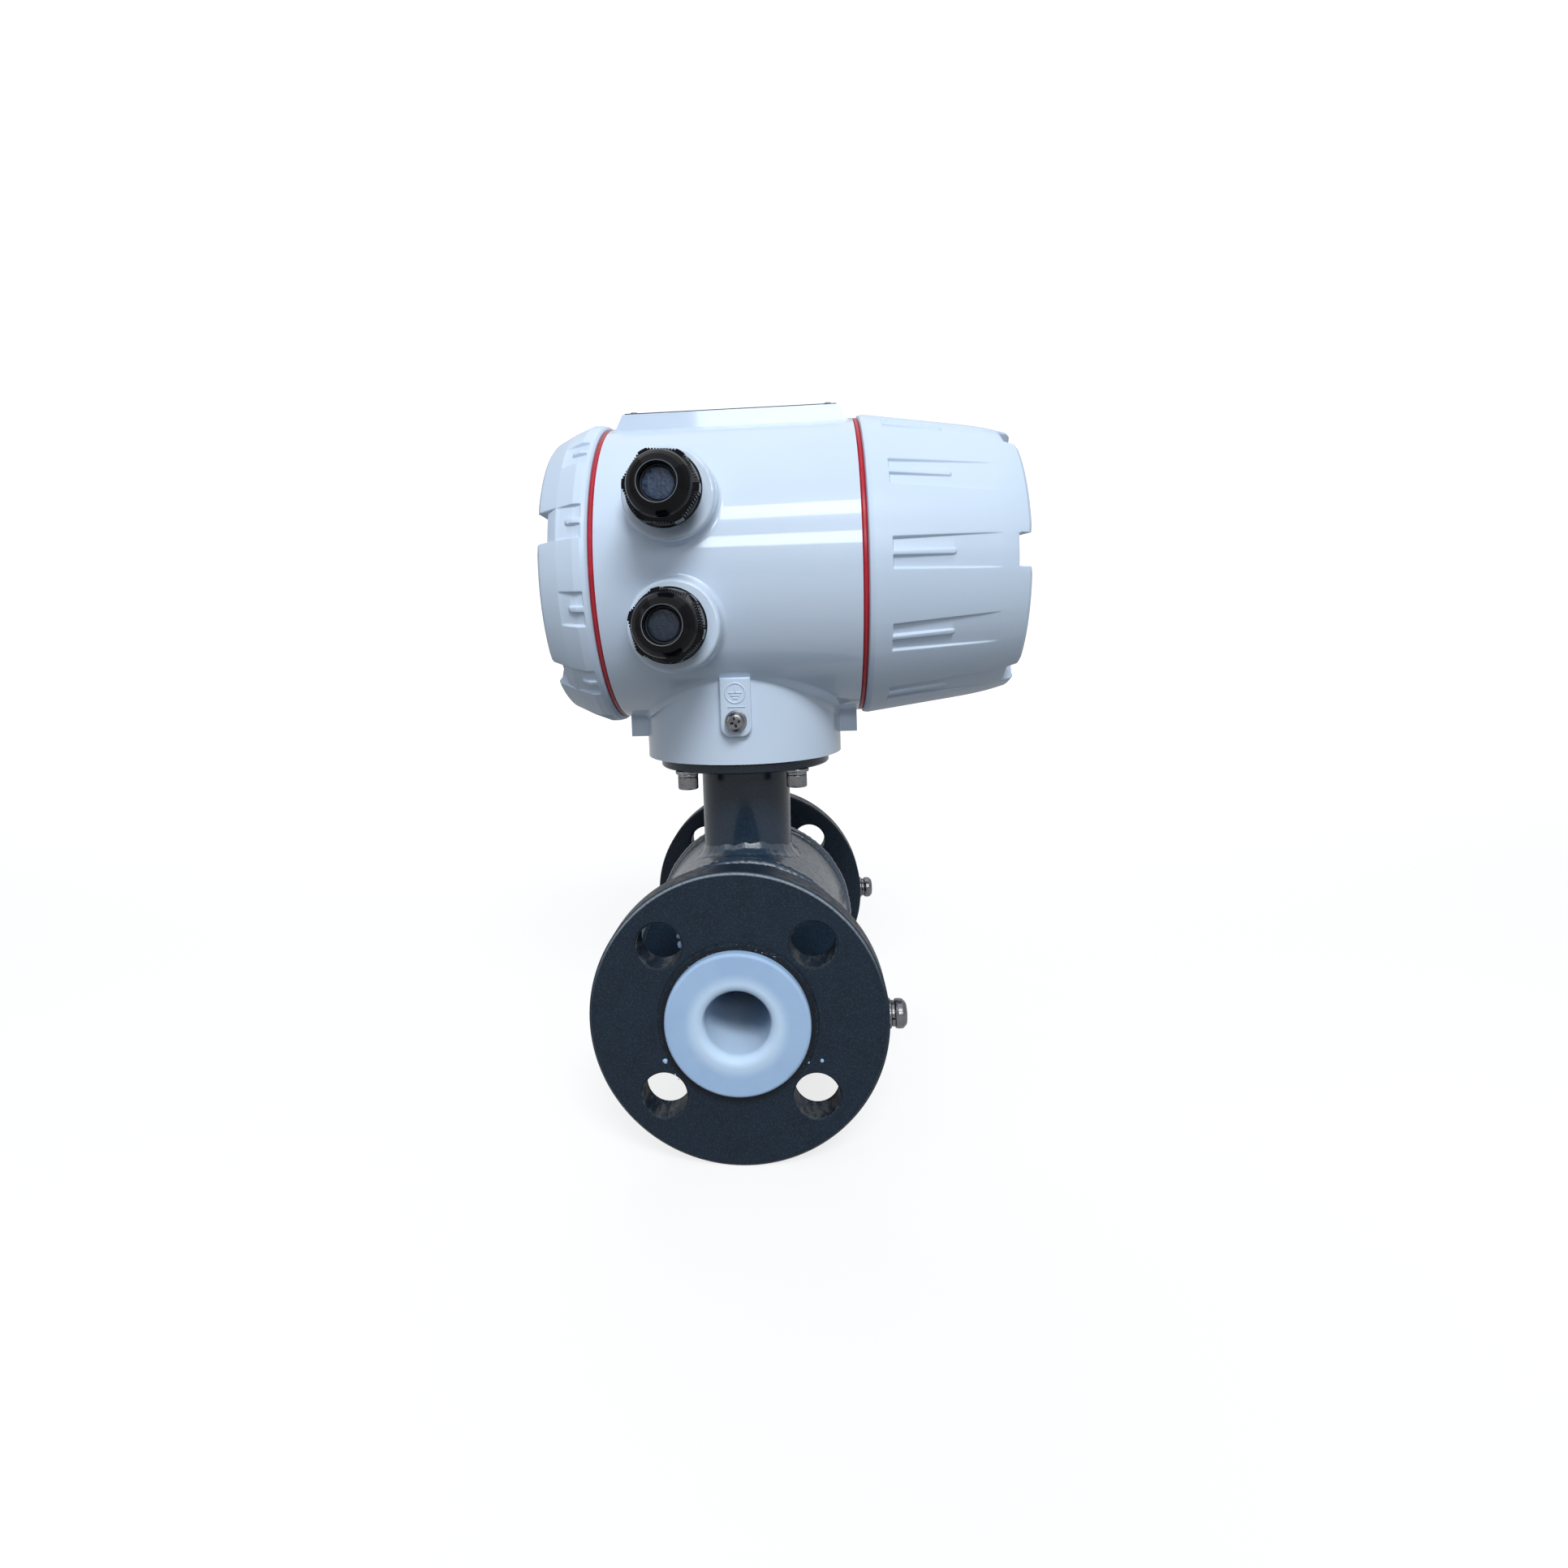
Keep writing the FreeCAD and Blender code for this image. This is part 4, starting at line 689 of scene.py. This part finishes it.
def build_cover(side, axes, corners, spans, rim_radius, twist=None, **sizes):
    """A screw-on cover: a threaded skirt, and the corners of the rest from the seat round."""
    skirt = [(SKIRT_START, SKIRT_INSIDE, 0), (SKIRT_START, SKIRT, 0.3), (SEAT, SKIRT, 0)]
    path = rounded(skirt + corners + [(SEAT, SKIRT_INSIDE, 0), skirt[0]])
    path = dense(path[:-1], spans + [(SKIRT_START, SEAT, 0.5, SKIRT - 0.1)])
    radius = sizes["rib_radius"]
    edges = [sizes["half"] / radius, sizes["rib_half"] / radius, NOTCH_HALF / rim_radius]
    angles = sector_angles(sizes["first"], edges)
    verts, faces = turned(HEAD, axes, path, angles, cover_shape(**sizes), twist)
    stand_for(new_piece(side + "_cover_casting", verts, faces, "cover", 42), side + "_cover")


def build_front_cover():
    """The long cover: twelve tapering grip pockets, each with a rib, and six notches in its rim."""
    start, rib_end, stop = 70.5, 97.5, 118.0
    half = math.radians(5.7) * 70
    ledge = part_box("window_seal")[1].x / MM
    window = 44.0
    end = FRONT_END
    build_cover(
        "front", TO_FRONT,
        [(SEAT, 71.9, 0.2), (SEAT + 0.5, 73.2, 0.7), (SEAT + 2.6, 73.45, 1.2), (112.0, 66.3, 300),
         (122.0, 64.3, 90), (end - 1.4, 62.1, 0.8), (end, 60.6, 1.2), (end, 52.3, 1.2),
         (end - 5.8, 46.4, 0.6), (end - 6.2, window + 1.6, 0.6), (end - 7.4, window, 0.8),
         (ledge, window, 0), (ledge, 49.8, 0), (107.0, 49.8, 0), (103.5, 60.0, 2), (68.0, 67.4, 2)],
        [(start - 1.2, start + 1.2, 0.2, 62), (rib_end - 3, rib_end + 1.4, 0.4, 62),
         (stop - 1, stop + 0.5, 0.25, 62), (start, stop + 5, 2.0, 62)],
        rim_radius=62, twist=pocket_twist(start, stop, half / 70, 0.9, 1.12), first=0.0,
        skin=through((SEAT, 73.5), (SEAT + 2.2, 73.5), (112.0, 66.3), (122.0, 64.3), (end, 61.9)),
        floor=through((start, 70.7), (stop, 65.1)), start=start, stop=stop, half=half,
        rib_end=rib_end, rib_half=1.25, rib_radius=70, end=end, notch_depth=6.2,
        rim_inside=window + 1.0)


def build_rear_cover():
    """The short blind cover: twelve small ribbed pockets, six notches and a sunk flat end."""
    start, rib_end, stop = 63.0, 70.0, 74.0
    end = REAR_END
    build_cover(
        "rear", TO_REAR,
        [(SEAT, 72.7, 0.2), (SEAT + 0.9, 73.8, 1.0), (SEAT + 3.0, 74.3, 2.0), (66.4, 74.3, 1.2),
         (74.5, 71.2, 2.5), (83.0, 67.0, 1.0), (end, 65.6, 1.0), (end, 55.6, 1.2),
         (end - 4.9, 54.6, 1.5), (end - 5.0, 0.01, 0), (end - 9.0, 0.01, 0), (end - 9.0, 57.0, 1),
         (72.0, 66.4, 2), (67.0, 68.4, 1)],
        [(start - 1.0, start + 1.0, 0.2, 60), (rib_end - 3, rib_end + 1.4, 0.35, 68),
         (start, stop + 1, 1.2, 69)],
        rim_radius=65.6, first=math.radians(15),
        skin=through((SEAT, 74.2), (66.2, 74.3), (74.5, 71.2), (83.0, 67.0), (end, 65.6)),
        floor=through((start, 73.2), (stop, 70.9)), start=start, stop=stop,
        half=math.radians(5.9) * 72, rib_end=rib_end, rib_half=1.3, rib_radius=72, end=end,
        notch_depth=5.0, rim_inside=55.0)


# ---------------- cable glands

# HEX_FLAT is how far the hexagon's flats are from the axis, and HEX_CORNER where its corners
# are turned off. DISC is the radius of a blanking disc.
HEX_TURN = {"upper": math.radians(-5), "lower": math.radians(-16.5)}
HEX_FLAT = 14.35
HEX_CORNER = 15.6
RIB_PITCH = 1.25
RIB_DEPTH = 0.6
DISC = 6.72


def build_gland_nut(name):
    """A domed nut: a round flange, a hexagon ribbed along its flats, a ridge and a lip, with painted
    highlights on the lip, the ridge and the hexagon's lands.
    """
    centre = GLANDS[name]
    origin = Vector((centre.x, 0, centre.z))
    low = -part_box(name + "_gland_nut")[1].y / MM
    face = low - 8.3
    path = rounded([
        (low, 10.58, 0), (low, 15.6, 0.4), (low + 3.0, 15.95, 0.7), (low + 3.6, 15.2, 0.3),
        (low + 3.7, 14.2, 0), (low + 10.6, 14.2, 0), (low + 10.9, 12.9, 0.2),
        (face + 22.0, 12.9, 0.1), (face + 22.1, 13.3, 0.15), (face + 22.6, 13.3, 0.2),
        (face + 24.2, 12.6, 2.0), (face + 26.3, 10.9, 2.5), (face + 28.0, 8.4, 0.45),
        (face + 27.8, 7.8, 0.3), (face + 27.2, 7.6, 0.2), (face + 24.4, 7.6, 0),
        (face + 24.4, 10.58, 0)], 5)
    spans = [(low + 3, low + 12, 1.4, 12.5), (face + 22, face + 29, 0.6, 7)]
    path = dense(path + [path[0]], spans)[:-1]

    def on_hexagon(along, out):
        return low + 3.65 < along < low + 10.7 and out > 13.4

    def hexagon(angle):
        """The angle from the middle of the nearest flat, and how far out the hexagon is there."""
        off = nearest(angle, HEX_TURN[name] + math.pi / 6, 6)
        return off, min(HEX_FLAT / math.cos(off), HEX_CORNER)

    def shape(along, out, angle):
        if on_hexagon(along, out):
            off, land = hexagon(angle)
            place = (HEX_FLAT * math.tan(off) / RIB_PITCH) % 1
            groove = ease(place, 0.42, 0.6) - ease(place, 0.85, 1.0)
            groove *= 1 - ease(abs(math.degrees(off)), 22.0, 23.5)
            out = land - RIB_DEPTH * groove
        elif name == "lower" and face + 20.5 < along < face + 22.8 and out > 12.5:
            out -= 0.7 * (1 - ease(abs(nearest(angle, math.pi / 2, 1)) * out, 1.5, 1.7))
        return along, out

    verts, faces = turned(origin, TO_INLET, path, 720, shape)
    cap = new_piece(name + "_gland_cap", verts, faces, "nylon", 40)
    # Painted highlights: a lighter nylon on the lip, the ridge and the outer lands of the hexagon.
    cap.data.materials.append(MATERIALS["nylon_highlight"])
    for polygon in cap.data.polygons:
        spot = polygon.center / MM - origin / MM
        out = math.hypot(spot.x, spot.z)
        land = hexagon(math.atan2(spot.z, spot.x))[1] - 0.12
        ridge = face + 21.9 < -spot.y < face + 22.7 and out > 13.0
        lip = -spot.y > face + 27.6 and 7.95 < out < 8.3
        if ridge or lip or on_hexagon(-spot.y, out) and out > land:
            polygon.material_index = 1
    stand_for(cap, name + "_gland_nut")


def build_gland_discs():
    """Both blanking discs: the upper one's face is crinkled, the lower one's pebbled."""
    low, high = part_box("gland_discs")
    front = -low.y / MM
    back = -high.y / MM
    steps = 18
    rings = [DISC * k / steps for k in range(steps - 1, 0, -1)]
    path = [(back, DISC), (front - 0.6, DISC)]
    path += [(front - 0.35 * (ring / DISC) ** 8, ring) for ring in rings]
    path += [(front, 0.01), (back, 0.01)]
    parts = []
    for name, creases in (("upper", 1.0), ("lower", 0.25)):
        def shape(along, out, angle, creases=creases):
            if along > front - 0.5 and out < DISC - 0.12:
                spot = Vector((out * math.cos(angle), out * math.sin(angle), 3.0 * creases))
                fold = abs(noise.noise(spot / 2.6)) + 0.4 * abs(noise.noise(spot / 1.1))
                pebble = noise.noise(spot / 0.45)
                along -= 0.42 * creases * fold + 0.05 * abs(pebble)
            return along, out

        origin = Vector((GLANDS[name].x, 0, GLANDS[name].z))
        parts.append(turned(origin, TO_INLET, [Vector(point) for point in path], 72, shape))
    stand_for(new_piece("gland_blanking_discs", *merge(*parts), "disc", 60), "gland_discs")


# ---------------- welds

def build_housing_beads():
    """The rough beads round both ends of the coil housing, with the ripple of each weld pass."""
    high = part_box("housing_welds")[1]
    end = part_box("coil_housing")[1].y / MM
    top = high.z / MM + 1.5
    parts = []
    for sign in (-1, 1):
        path = [Vector((end - 1.6 + 3.1 * math.cos(a), top - 3.0 + 2.6 * math.sin(a)))
                for a in [math.radians(200 - 20 * k) for k in range(13)]]
        path += [Vector((end - 0.4, top - 5.0)), Vector((end - 3.6, top - 5.0))]

        def shape(along, out, angle, sign=sign):
            spot = Vector((math.cos(angle), math.sin(angle), 0.02 * along)) * 0.052
            lump = bumpy(spot, 0.007, 4.0 * sign) + 0.6 * bumpy(spot, 0.0026, 9.0)
            ripple = 0.09 * math.sin(angle * 96 + 2.0 * bumpy(spot, 0.02, 2.0))
            sway = 0.5 * bumpy(spot, 0.013, 7.0 + sign)
            grow = ease(out, top - 4.6, top - 2.0)
            return along + grow * sway, out + grow * (0.3 * lump + ripple - 0.25)

        parts.append(turned(Vector(), (sign * Y, X, Z), path, 540, shape))
    stand_for(new_piece("housing_weld_beads", *merge(*parts), "weld", 75), "housing_welds")


def build_neck_weld():
    """The weld round the neck's foot: a hollow fillet that follows the round housing."""
    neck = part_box("neck_tube")[1].x / MM
    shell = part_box("coil_housing")[1].z / MM
    count = 240
    section = [(0.05, -1.5), (0.0, 4.2), (0.35, 3.0), (0.9, 1.9), (1.8, 1.0), (3.0, 0.45),
               (4.4, 0.1), (4.6, -1.5)]
    verts = []
    for side, up in section:
        for k in range(count):
            angle = 2 * math.pi * k / count
            spot = Vector((math.cos(angle), math.sin(angle), 0.0)) * 0.024
            swell = 1.0 + 0.28 * bumpy(spot, 0.006, 3.0) + 0.12 * bumpy(spot, 0.002, 5.0)
            radius = neck + side * (swell if 0 < side < 4.5 else 1.0)
            x = radius * math.cos(angle)
            y = radius * math.sin(angle)
            z = math.sqrt(shell ** 2 - min(x * x, shell ** 2)) + (up * swell if up > 0 else up)
            verts.append(Vector((x, y, z)) * MM)
    faces = grid_faces(len(section), count, closed_rows=True)
    stand_for(new_piece("neck_weld_fillet", verts, faces, "weld", 70), "neck_weld")


# ---------------- screws and washers

def flat_washer(origin, axes, low, high, inner, outer):
    soft = 0.25 * (high - low)
    path = rounded([(low, inner, 0), (low, outer, soft), (high, outer, soft), (high, inner, soft),
                    (low, inner, 0)], 2)
    return turned(origin, axes, path[:-1], 64)


def split_washer(origin, axes, low, high, inner, outer, lift):
    """A split ring: one turn of a square section, its two ends a little apart."""
    count = 60
    gap = 8.0
    soft = 0.18 * (high - low)
    corners = [(low, inner), (low, outer), (high, outer), (high, inner)]
    section = rounded([(a, b, soft) for a, b in [corners[-1]] + corners + [corners[0]]], 2)[1:-1]
    half_way = (low + high) / 2
    squeeze = 1 - lift / (high - low)
    verts = []
    for k in range(count + 1):
        angle = math.radians(gap / 2 + (360 - gap) * k / count)
        rise = lift * (k / count - 0.5)
        for along, out in section:
            along = half_way + (along - half_way) * squeeze + rise
            verts.append(polar(origin, axes, along, out, angle))
    return capped(verts, len(section))


def build_washers(spots, axes, levels, finish, flat, split, lift=0.2):
    """A flat and a split washer at each spot, between three levels.

    flat and split each name a piece and its node, and give an inner and an outer radius.
    """
    start, step, top = levels
    piece, node, inner, outer = flat
    parts = [flat_washer(spot, axes, start, step, inner, outer) for spot in spots]
    stand_for(new_piece(piece, *merge(*parts), finish), node)
    piece, node, inner, outer = split
    parts = [split_washer(spot, axes, step, top, inner, outer, lift) for spot in spots]
    stand_for(new_piece(piece, *merge(*parts), finish), node)


def pan_head(origin, axes, seat, head_d, head_len, shank_d, shank_len):
    """The turned blank of a pan-head screw, its head's underside at seat."""
    half = head_d / 2
    top = seat + head_len
    path = rounded([
        (seat - shank_len, 0.01, 0), (seat - shank_len, shank_d / 2, 0.3), (seat, shank_d / 2, 0),
        (seat, half - 0.3, 0.3), (seat + head_len * 0.25, half, 0.8),
        (seat + head_len * 0.62, half - 0.15, 1.0), (seat + head_len * 0.93, half * 0.72, 1.6),
        (top, half * 0.3, 2.5), (top, 0.01, 0)])
    return turned(origin, axes, path, 72)


def cross_cutter(origin, axes, top, wide, deep, roll):
    """A tapered cross, for the recess in a screw's head."""
    axis, zero, quarter = axes
    turn = Matrix.Rotation(math.radians(roll), 3, axis)
    one = turn @ zero
    two = turn @ quarter
    ends = ((top + 1.0, wide * 0.55, wide * 0.11), (top - deep, wide * 0.2, wide * 0.07))
    verts = []
    for level, reach, slim in ends:
        for first, second in ((one, two), (two, -one), (-one, -two), (-two, one)):
            for a, b in ((reach, -slim), (reach, slim), (slim, slim)):
                verts.append(origin + (axis * level + first * a + second * b) * MM)
    return new_piece("cutter", *capped(verts, 12), "zinc")


def hex_cutter(origin, axes, top, deep, flats, roll):
    """A hexagonal plug, for the socket in a screw's head."""
    corner = flats / 2 / math.cos(math.pi / 6)
    verts = [polar(origin, axes, level, corner, math.radians(60 * k + roll))
             for level in (top + 1.0, top - deep) for k in range(6)]
    return new_piece("cutter", *capped(verts, 6), "zinc")


def cross_screws(name, node, spots, axes, seat, sizes, rolls):
    """Cross-recess pan-head screws at several spots, as one piece. sizes is as pan_head takes it."""
    head_d, head_len = sizes[:2]
    piece = new_piece(name, *merge(*[pan_head(spot, axes, seat, *sizes) for spot in spots]), "zinc")
    for spot, roll in zip(spots, rolls):
        carve(piece, cross_cutter(spot, axes, seat + head_len, head_d * 0.6, head_len * 0.6, roll))
    stand_for(piece, node)


def build_flange_screws():
    low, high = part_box("flange_earth_washers")
    reach = (high.y - low.y) / 2 - (high.z - low.z) / 2
    spots = [Vector((0, side * reach, 0)) for side in (-1, 1)]
    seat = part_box("flange_earth_spring_washers")[1].x / MM
    build_washers(spots, TO_FRONT, (low.x / MM, high.x / MM, seat), "zinc",
                  ("rim_flat_washers", "flange_earth_washers", 3.1, 6.0),
                  ("rim_spring_washers", "flange_earth_spring_washers", 3.1, 5.2))
    cross_screws("rim_screws", "flange_earth_screws", spots, TO_FRONT, seat,
                 (12.0, 5.0, 5.9, 12.5), (20, 65))


def build_earth_screw():
    spots = [Vector((0, 0, middle("earth_screw").z))]
    low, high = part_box("earth_washer")
    seat = -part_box("earth_spring_washer")[0].y / MM
    build_washers(spots, TO_INLET, (-high.y / MM, -low.y / MM, seat), "zinc",
                  ("tongue_flat_washer", "earth_washer", 2.6, 5.0),
                  ("tongue_spring_washer", "earth_spring_washer", 2.6, 4.4), lift=0.15)
    cross_screws("tongue_screw", "earth_screw", spots, TO_INLET, seat, (9.2, 3.4, 4.9, 10.0), (12,))


def build_neck_screws():
    """Four socket-head screws, heads down, each over a split washer and a flat washer."""
    low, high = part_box("neck_washers")
    reach = high.x - 6.0 * MM
    spots = [Vector((a * reach, b * reach, 0)) for a in (-1, 1) for b in (-1, 1)]
    seat = -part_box("neck_spring_washers")[0].z / MM
    build_washers(spots, DOWN, (-high.z / MM, -low.z / MM, seat), "steel",
                  ("neck_flat_washers", "neck_washers", 3.2, 6.0),
                  ("neck_split_washers", "neck_spring_washers", 3.1, 5.0))
    low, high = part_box("neck_cap_screws")
    head, tip = -low.z / MM, -high.z / MM
    path = rounded([(tip, 0.01, 0), (tip, 2.95, 0.4), (seat, 2.95, 0), (seat, 4.95, 0.25),
                    (head, 4.95, 0.6), (head, 0.01, 0)], 3)
    path = dense(path, [(seat, head, 1.0, 4)])

    def knurl(along, out, angle):
        if out > 4.9 and seat + 0.5 < along < head - 0.7:
            out -= 0.12 * (0.5 + 0.5 * math.cos(36 * angle))
        return along, out

    blanks = [turned(spot, DOWN, path, 144, knurl) for spot in spots]
    screws = new_piece("neck_socket_screws", *merge(*blanks), "zinc")
    for index, spot in enumerate(spots):
        carve(screws, hex_cutter(spot, DOWN, head, 3.0, 5.0, 17 * index))
    stand_for(screws, "neck_cap_screws")


# ---------------- marks and crumbs

def tube_ring(origin, axes, along, radius, thick):
    """A round bar bent into a ring."""
    sides = 8
    path = [Vector((along + thick * math.sin(a), radius + thick * math.cos(a)))
            for a in [2 * math.pi * k / sides for k in range(sides)]]
    return turned(origin, axes, path, 48)


def raised_bar(origin, axes, along, start, stop, thick):
    """A round-ended bar standing on a face, between two points of the face."""
    axis, zero, quarter = axes
    run = Vector((stop[0] - start[0], stop[1] - start[1])).normalized()
    side = Vector((-run.y, run.x))
    rim = 12
    verts = []
    for level, grow in ((-0.4, 1.0), (0.0, 1.0), (0.3, 0.8), (0.4, 0.4)):
        for k in range(2 * rim):
            centre, turn = (start, math.pi / 2) if k < rim else (stop, -math.pi / 2)
            angle = math.pi * (k % rim) / (rim - 1) + turn
            spot = Vector(centre) + (run * math.cos(angle) + side * math.sin(angle)) * thick * grow
            verts.append(origin + (axis * (along + level) + zero * spot.x + quarter * spot.y) * MM)
    return capped(verts, 2 * rim)


def build_earth_mark():
    """The protective-earth symbol cast on the tongue: a circle round a stem and three bars,
    and a thin line below."""
    face = -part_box("earth_washer")[1].y / MM
    spot = Vector((0, 0, 0.1328))
    parts = [tube_ring(spot, TO_INLET, face, 4.5, 0.42)]
    for start, stop, thick in (((0, 3.2), (0, 0.2), 0.42), ((-2.8, 0.2), (2.8, 0.2), 0.42),
                               ((-1.9, -1.1), (1.9, -1.1), 0.4), ((-0.9, -2.4), (0.9, -2.4), 0.38),
                               ((-3.4, -6.3), (4.2, -6.3), 0.22)):
        parts.append(raised_bar(spot, TO_INLET, face, start, stop, thick))
    mark = new_piece("earth_mark", *merge(*parts), "head", 50)
    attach(mark, "root")


def crumb(centre, size, seed):
    """A small ragged crumb of liner."""
    rings = 6
    around = 9
    verts = []
    for i in range(rings + 1):
        lift = math.pi * i / rings
        for k in range(around):
            turn = 2 * math.pi * k / around
            flat = math.sin(lift)
            ray = Vector((flat * math.cos(turn), 0.6 * math.cos(lift), flat * math.sin(turn)))
            swell = 1.0 + 0.45 * noise.noise(ray * 1.7 + Vector((seed, 0, 0)))
            verts.append(Vector(centre) + ray * swell * size * MM)
    return verts, grid_faces(rings + 1, around)


def build_crumbs():
    """White crumbs of the liner left on the near flange, and two in its upper left bolt hole."""
    face = -FLANGE_FACE / MM + 1.0
    on_face = [(-30.8, -16.8, 1.15), (-31.3, -10.1, 0.35), (28.5, -17.3, 0.6), (34.2, -16.6, 0.8),
               (26.9, 14.6, 0.75), (28.1, 11.0, 0.4), (31.5, 2.0, 0.3), (-26.9, -22.6, 0.4),
               (-25.6, -24.6, 0.3)]
    in_hole = [(-HOLE + 7.8, face + 5, HOLE + 2.6, 1.1), (-HOLE + 8.1, face + 7, HOLE - 1.8, 1.5)]
    spots = [(x, face - 0.25, z, size, i * 1.7) for i, (x, z, size) in enumerate(on_face)]
    spots += [(x, y, z, size, 20 + i) for i, (x, y, z, size) in enumerate(in_hole)]
    parts = [crumb((x * MM, y * MM, z * MM), size, seed) for x, y, z, size, seed in spots]
    crumbs = new_piece("liner_crumbs", *merge(*parts), "liner", 80)
    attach(crumbs, "root")


build_front_cover()
build_rear_cover()
for gland in GLANDS:
    build_gland_nut(gland)
build_gland_discs()
build_housing_beads()
build_neck_weld()
build_flange_screws()
build_earth_screw()
build_neck_screws()
build_earth_mark()
build_crumbs()


# ---------------- floor, light and camera

def pale_material():
    """A floor that reads as white, keeps shadows, and sends little light back up."""
    sheet = Finish("pale_sweep", (0.19, 0.195, 0.2), 0.9,
                   emission_color=(1, 1, 1, 1), specular_ior_level=0.1)
    strength = sheet.remap(sheet.axes()[1], 0.1, 1.4, 0.79, 0.965)
    seen = seen_share(sheet.material.node_tree)
    return sheet.into("Emission Strength", sheet.times(seen, strength)).material


def seen_share(tree):
    """How much of the white surroundings a ray sees: all when straight or through glass, part in gloss."""
    rays = tree.nodes.new("ShaderNodeLightPath").outputs
    part, straight, most = (tree.nodes.new("ShaderNodeMath") for _ in range(3))
    part.operation = "MULTIPLY"
    part.inputs[1].default_value = 0.34
    straight.operation = most.operation = "MAXIMUM"
    for source, socket in ((rays["Is Glossy Ray"], part.inputs[0]),
                           (rays["Is Camera Ray"], straight.inputs[0]),
                           (rays["Is Transmission Ray"], straight.inputs[1]),
                           (straight.outputs[0], most.inputs[0]), (part.outputs[0], most.inputs[1])):
        tree.links.new(source, socket)
    return most.outputs[0]


def build_sweep():
    """A pale floor that turns up into a backdrop behind the object."""
    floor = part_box("inlet_flange")[0].z
    near, far, high, bend, half = -5.0, 1.5, 2.6, 0.7, 4.0
    line = [(near, floor), (far - bend, floor)]
    line += [(far - bend + bend * math.sin(a), floor + bend * (1 - math.cos(a)))
             for a in [math.radians(7.5 * k) for k in range(1, 12)]]
    line += [(far, floor + bend), (far, high)]
    verts = [Vector((x, y, z)) for y, z in line for x in (-half, half)]
    faces = grid_faces(len(line), 2, closed_columns=False)
    mesh = bpy.data.meshes.new("sweep")
    mesh.from_pydata([tuple(v) for v in verts], [], faces)
    mesh.shade_smooth()
    mesh.materials.append(pale_material())
    sweep = bpy.data.objects.new("sweep", mesh)
    scene.collection.objects.link(sweep)


def area_light(name, place, target, size, power):
    data = bpy.data.lights.new(name, "AREA")
    data.shape = "RECTANGLE"
    data.size, data.size_y = size
    data.energy = power
    data.color = (0.93, 0.97, 1.0)
    lamp = bpy.data.objects.new(name, data)
    lamp.location = place
    lamp.rotation_euler = (Vector(target) - Vector(place)).to_track_quat("-Z", "Y").to_euler()
    scene.collection.objects.link(lamp)
    return lamp


def build_lights():
    world = bpy.data.worlds.new("studio")
    world.use_nodes = True
    tree = world.node_tree
    room = tree.nodes["Background"]
    room.inputs["Color"].default_value = (0.8, 0.9, 1.0, 1)
    room.inputs["Strength"].default_value = 0.11
    white = tree.nodes.new("ShaderNodeBackground")
    white.inputs["Color"].default_value = (0.97, 0.975, 0.98, 1)
    mixed = tree.nodes.new("ShaderNodeMixShader")
    tree.links.new(seen_share(tree), mixed.inputs[0])
    tree.links.new(room.outputs[0], mixed.inputs[1])
    tree.links.new(white.outputs[0], mixed.inputs[2])
    tree.links.new(mixed.outputs[0], tree.nodes["World Output"].inputs[0])
    scene.world = world
    head = (0.03, -0.03, 0.19)
    area_light("high_strip", (0.2, -1.05, 1.07), head, (0.72, 0.24), 2.6)
    area_light("low_strip", (0.2, -1.2, 0.57), head, (0.72, 0.19), 2.5)
    area_light("ceiling", (0.05, -0.3, 1.5), (0.0, -0.3, 0.1), (3.6, 2.2), 12)
    area_light("left", (-1.5, -0.9, 0.7), head, (0.9, 1.2), 2.5)
    # These two brighten the object without being mirrored in it.
    area_light("back", (-0.3, 1.2, 1.3), head, (1.6, 0.8), 14).visible_glossy = False
    area_light("fill", (0.55, -2.0, 2.1), head, (1.1, 0.8), 55).visible_glossy = False


def build_camera():
    """At the height of the neck, close in front, turned a little left and down."""
    place = Vector((0.031, -0.433, 0.1585))
    yaw, pitch, roll = (math.radians(a) for a in (3.94, -3.42, -1.94))
    forward = Vector((-math.sin(yaw) * math.cos(pitch), math.cos(yaw) * math.cos(pitch), math.sin(pitch)))
    level = Vector((math.cos(yaw), math.sin(yaw), 0))
    upright = level.cross(forward)
    right = math.cos(roll) * level + math.sin(roll) * upright
    up = -math.sin(roll) * level + math.cos(roll) * upright
    data = bpy.data.cameras.new("camera")
    data.sensor_width = 36
    data.lens = 19.37
    data.shift_x = 0.0247
    data.shift_y = -0.0622
    data.clip_start = 0.01
    camera = bpy.data.objects.new("camera", data)
    camera.matrix_world = Matrix.Translation(place) @ Matrix((right, up, -forward)).transposed().to_4x4()
    scene.collection.objects.link(camera)
    scene.camera = camera


build_sweep()
build_lights()
build_camera()
scene.view_settings.view_transform = "Standard"
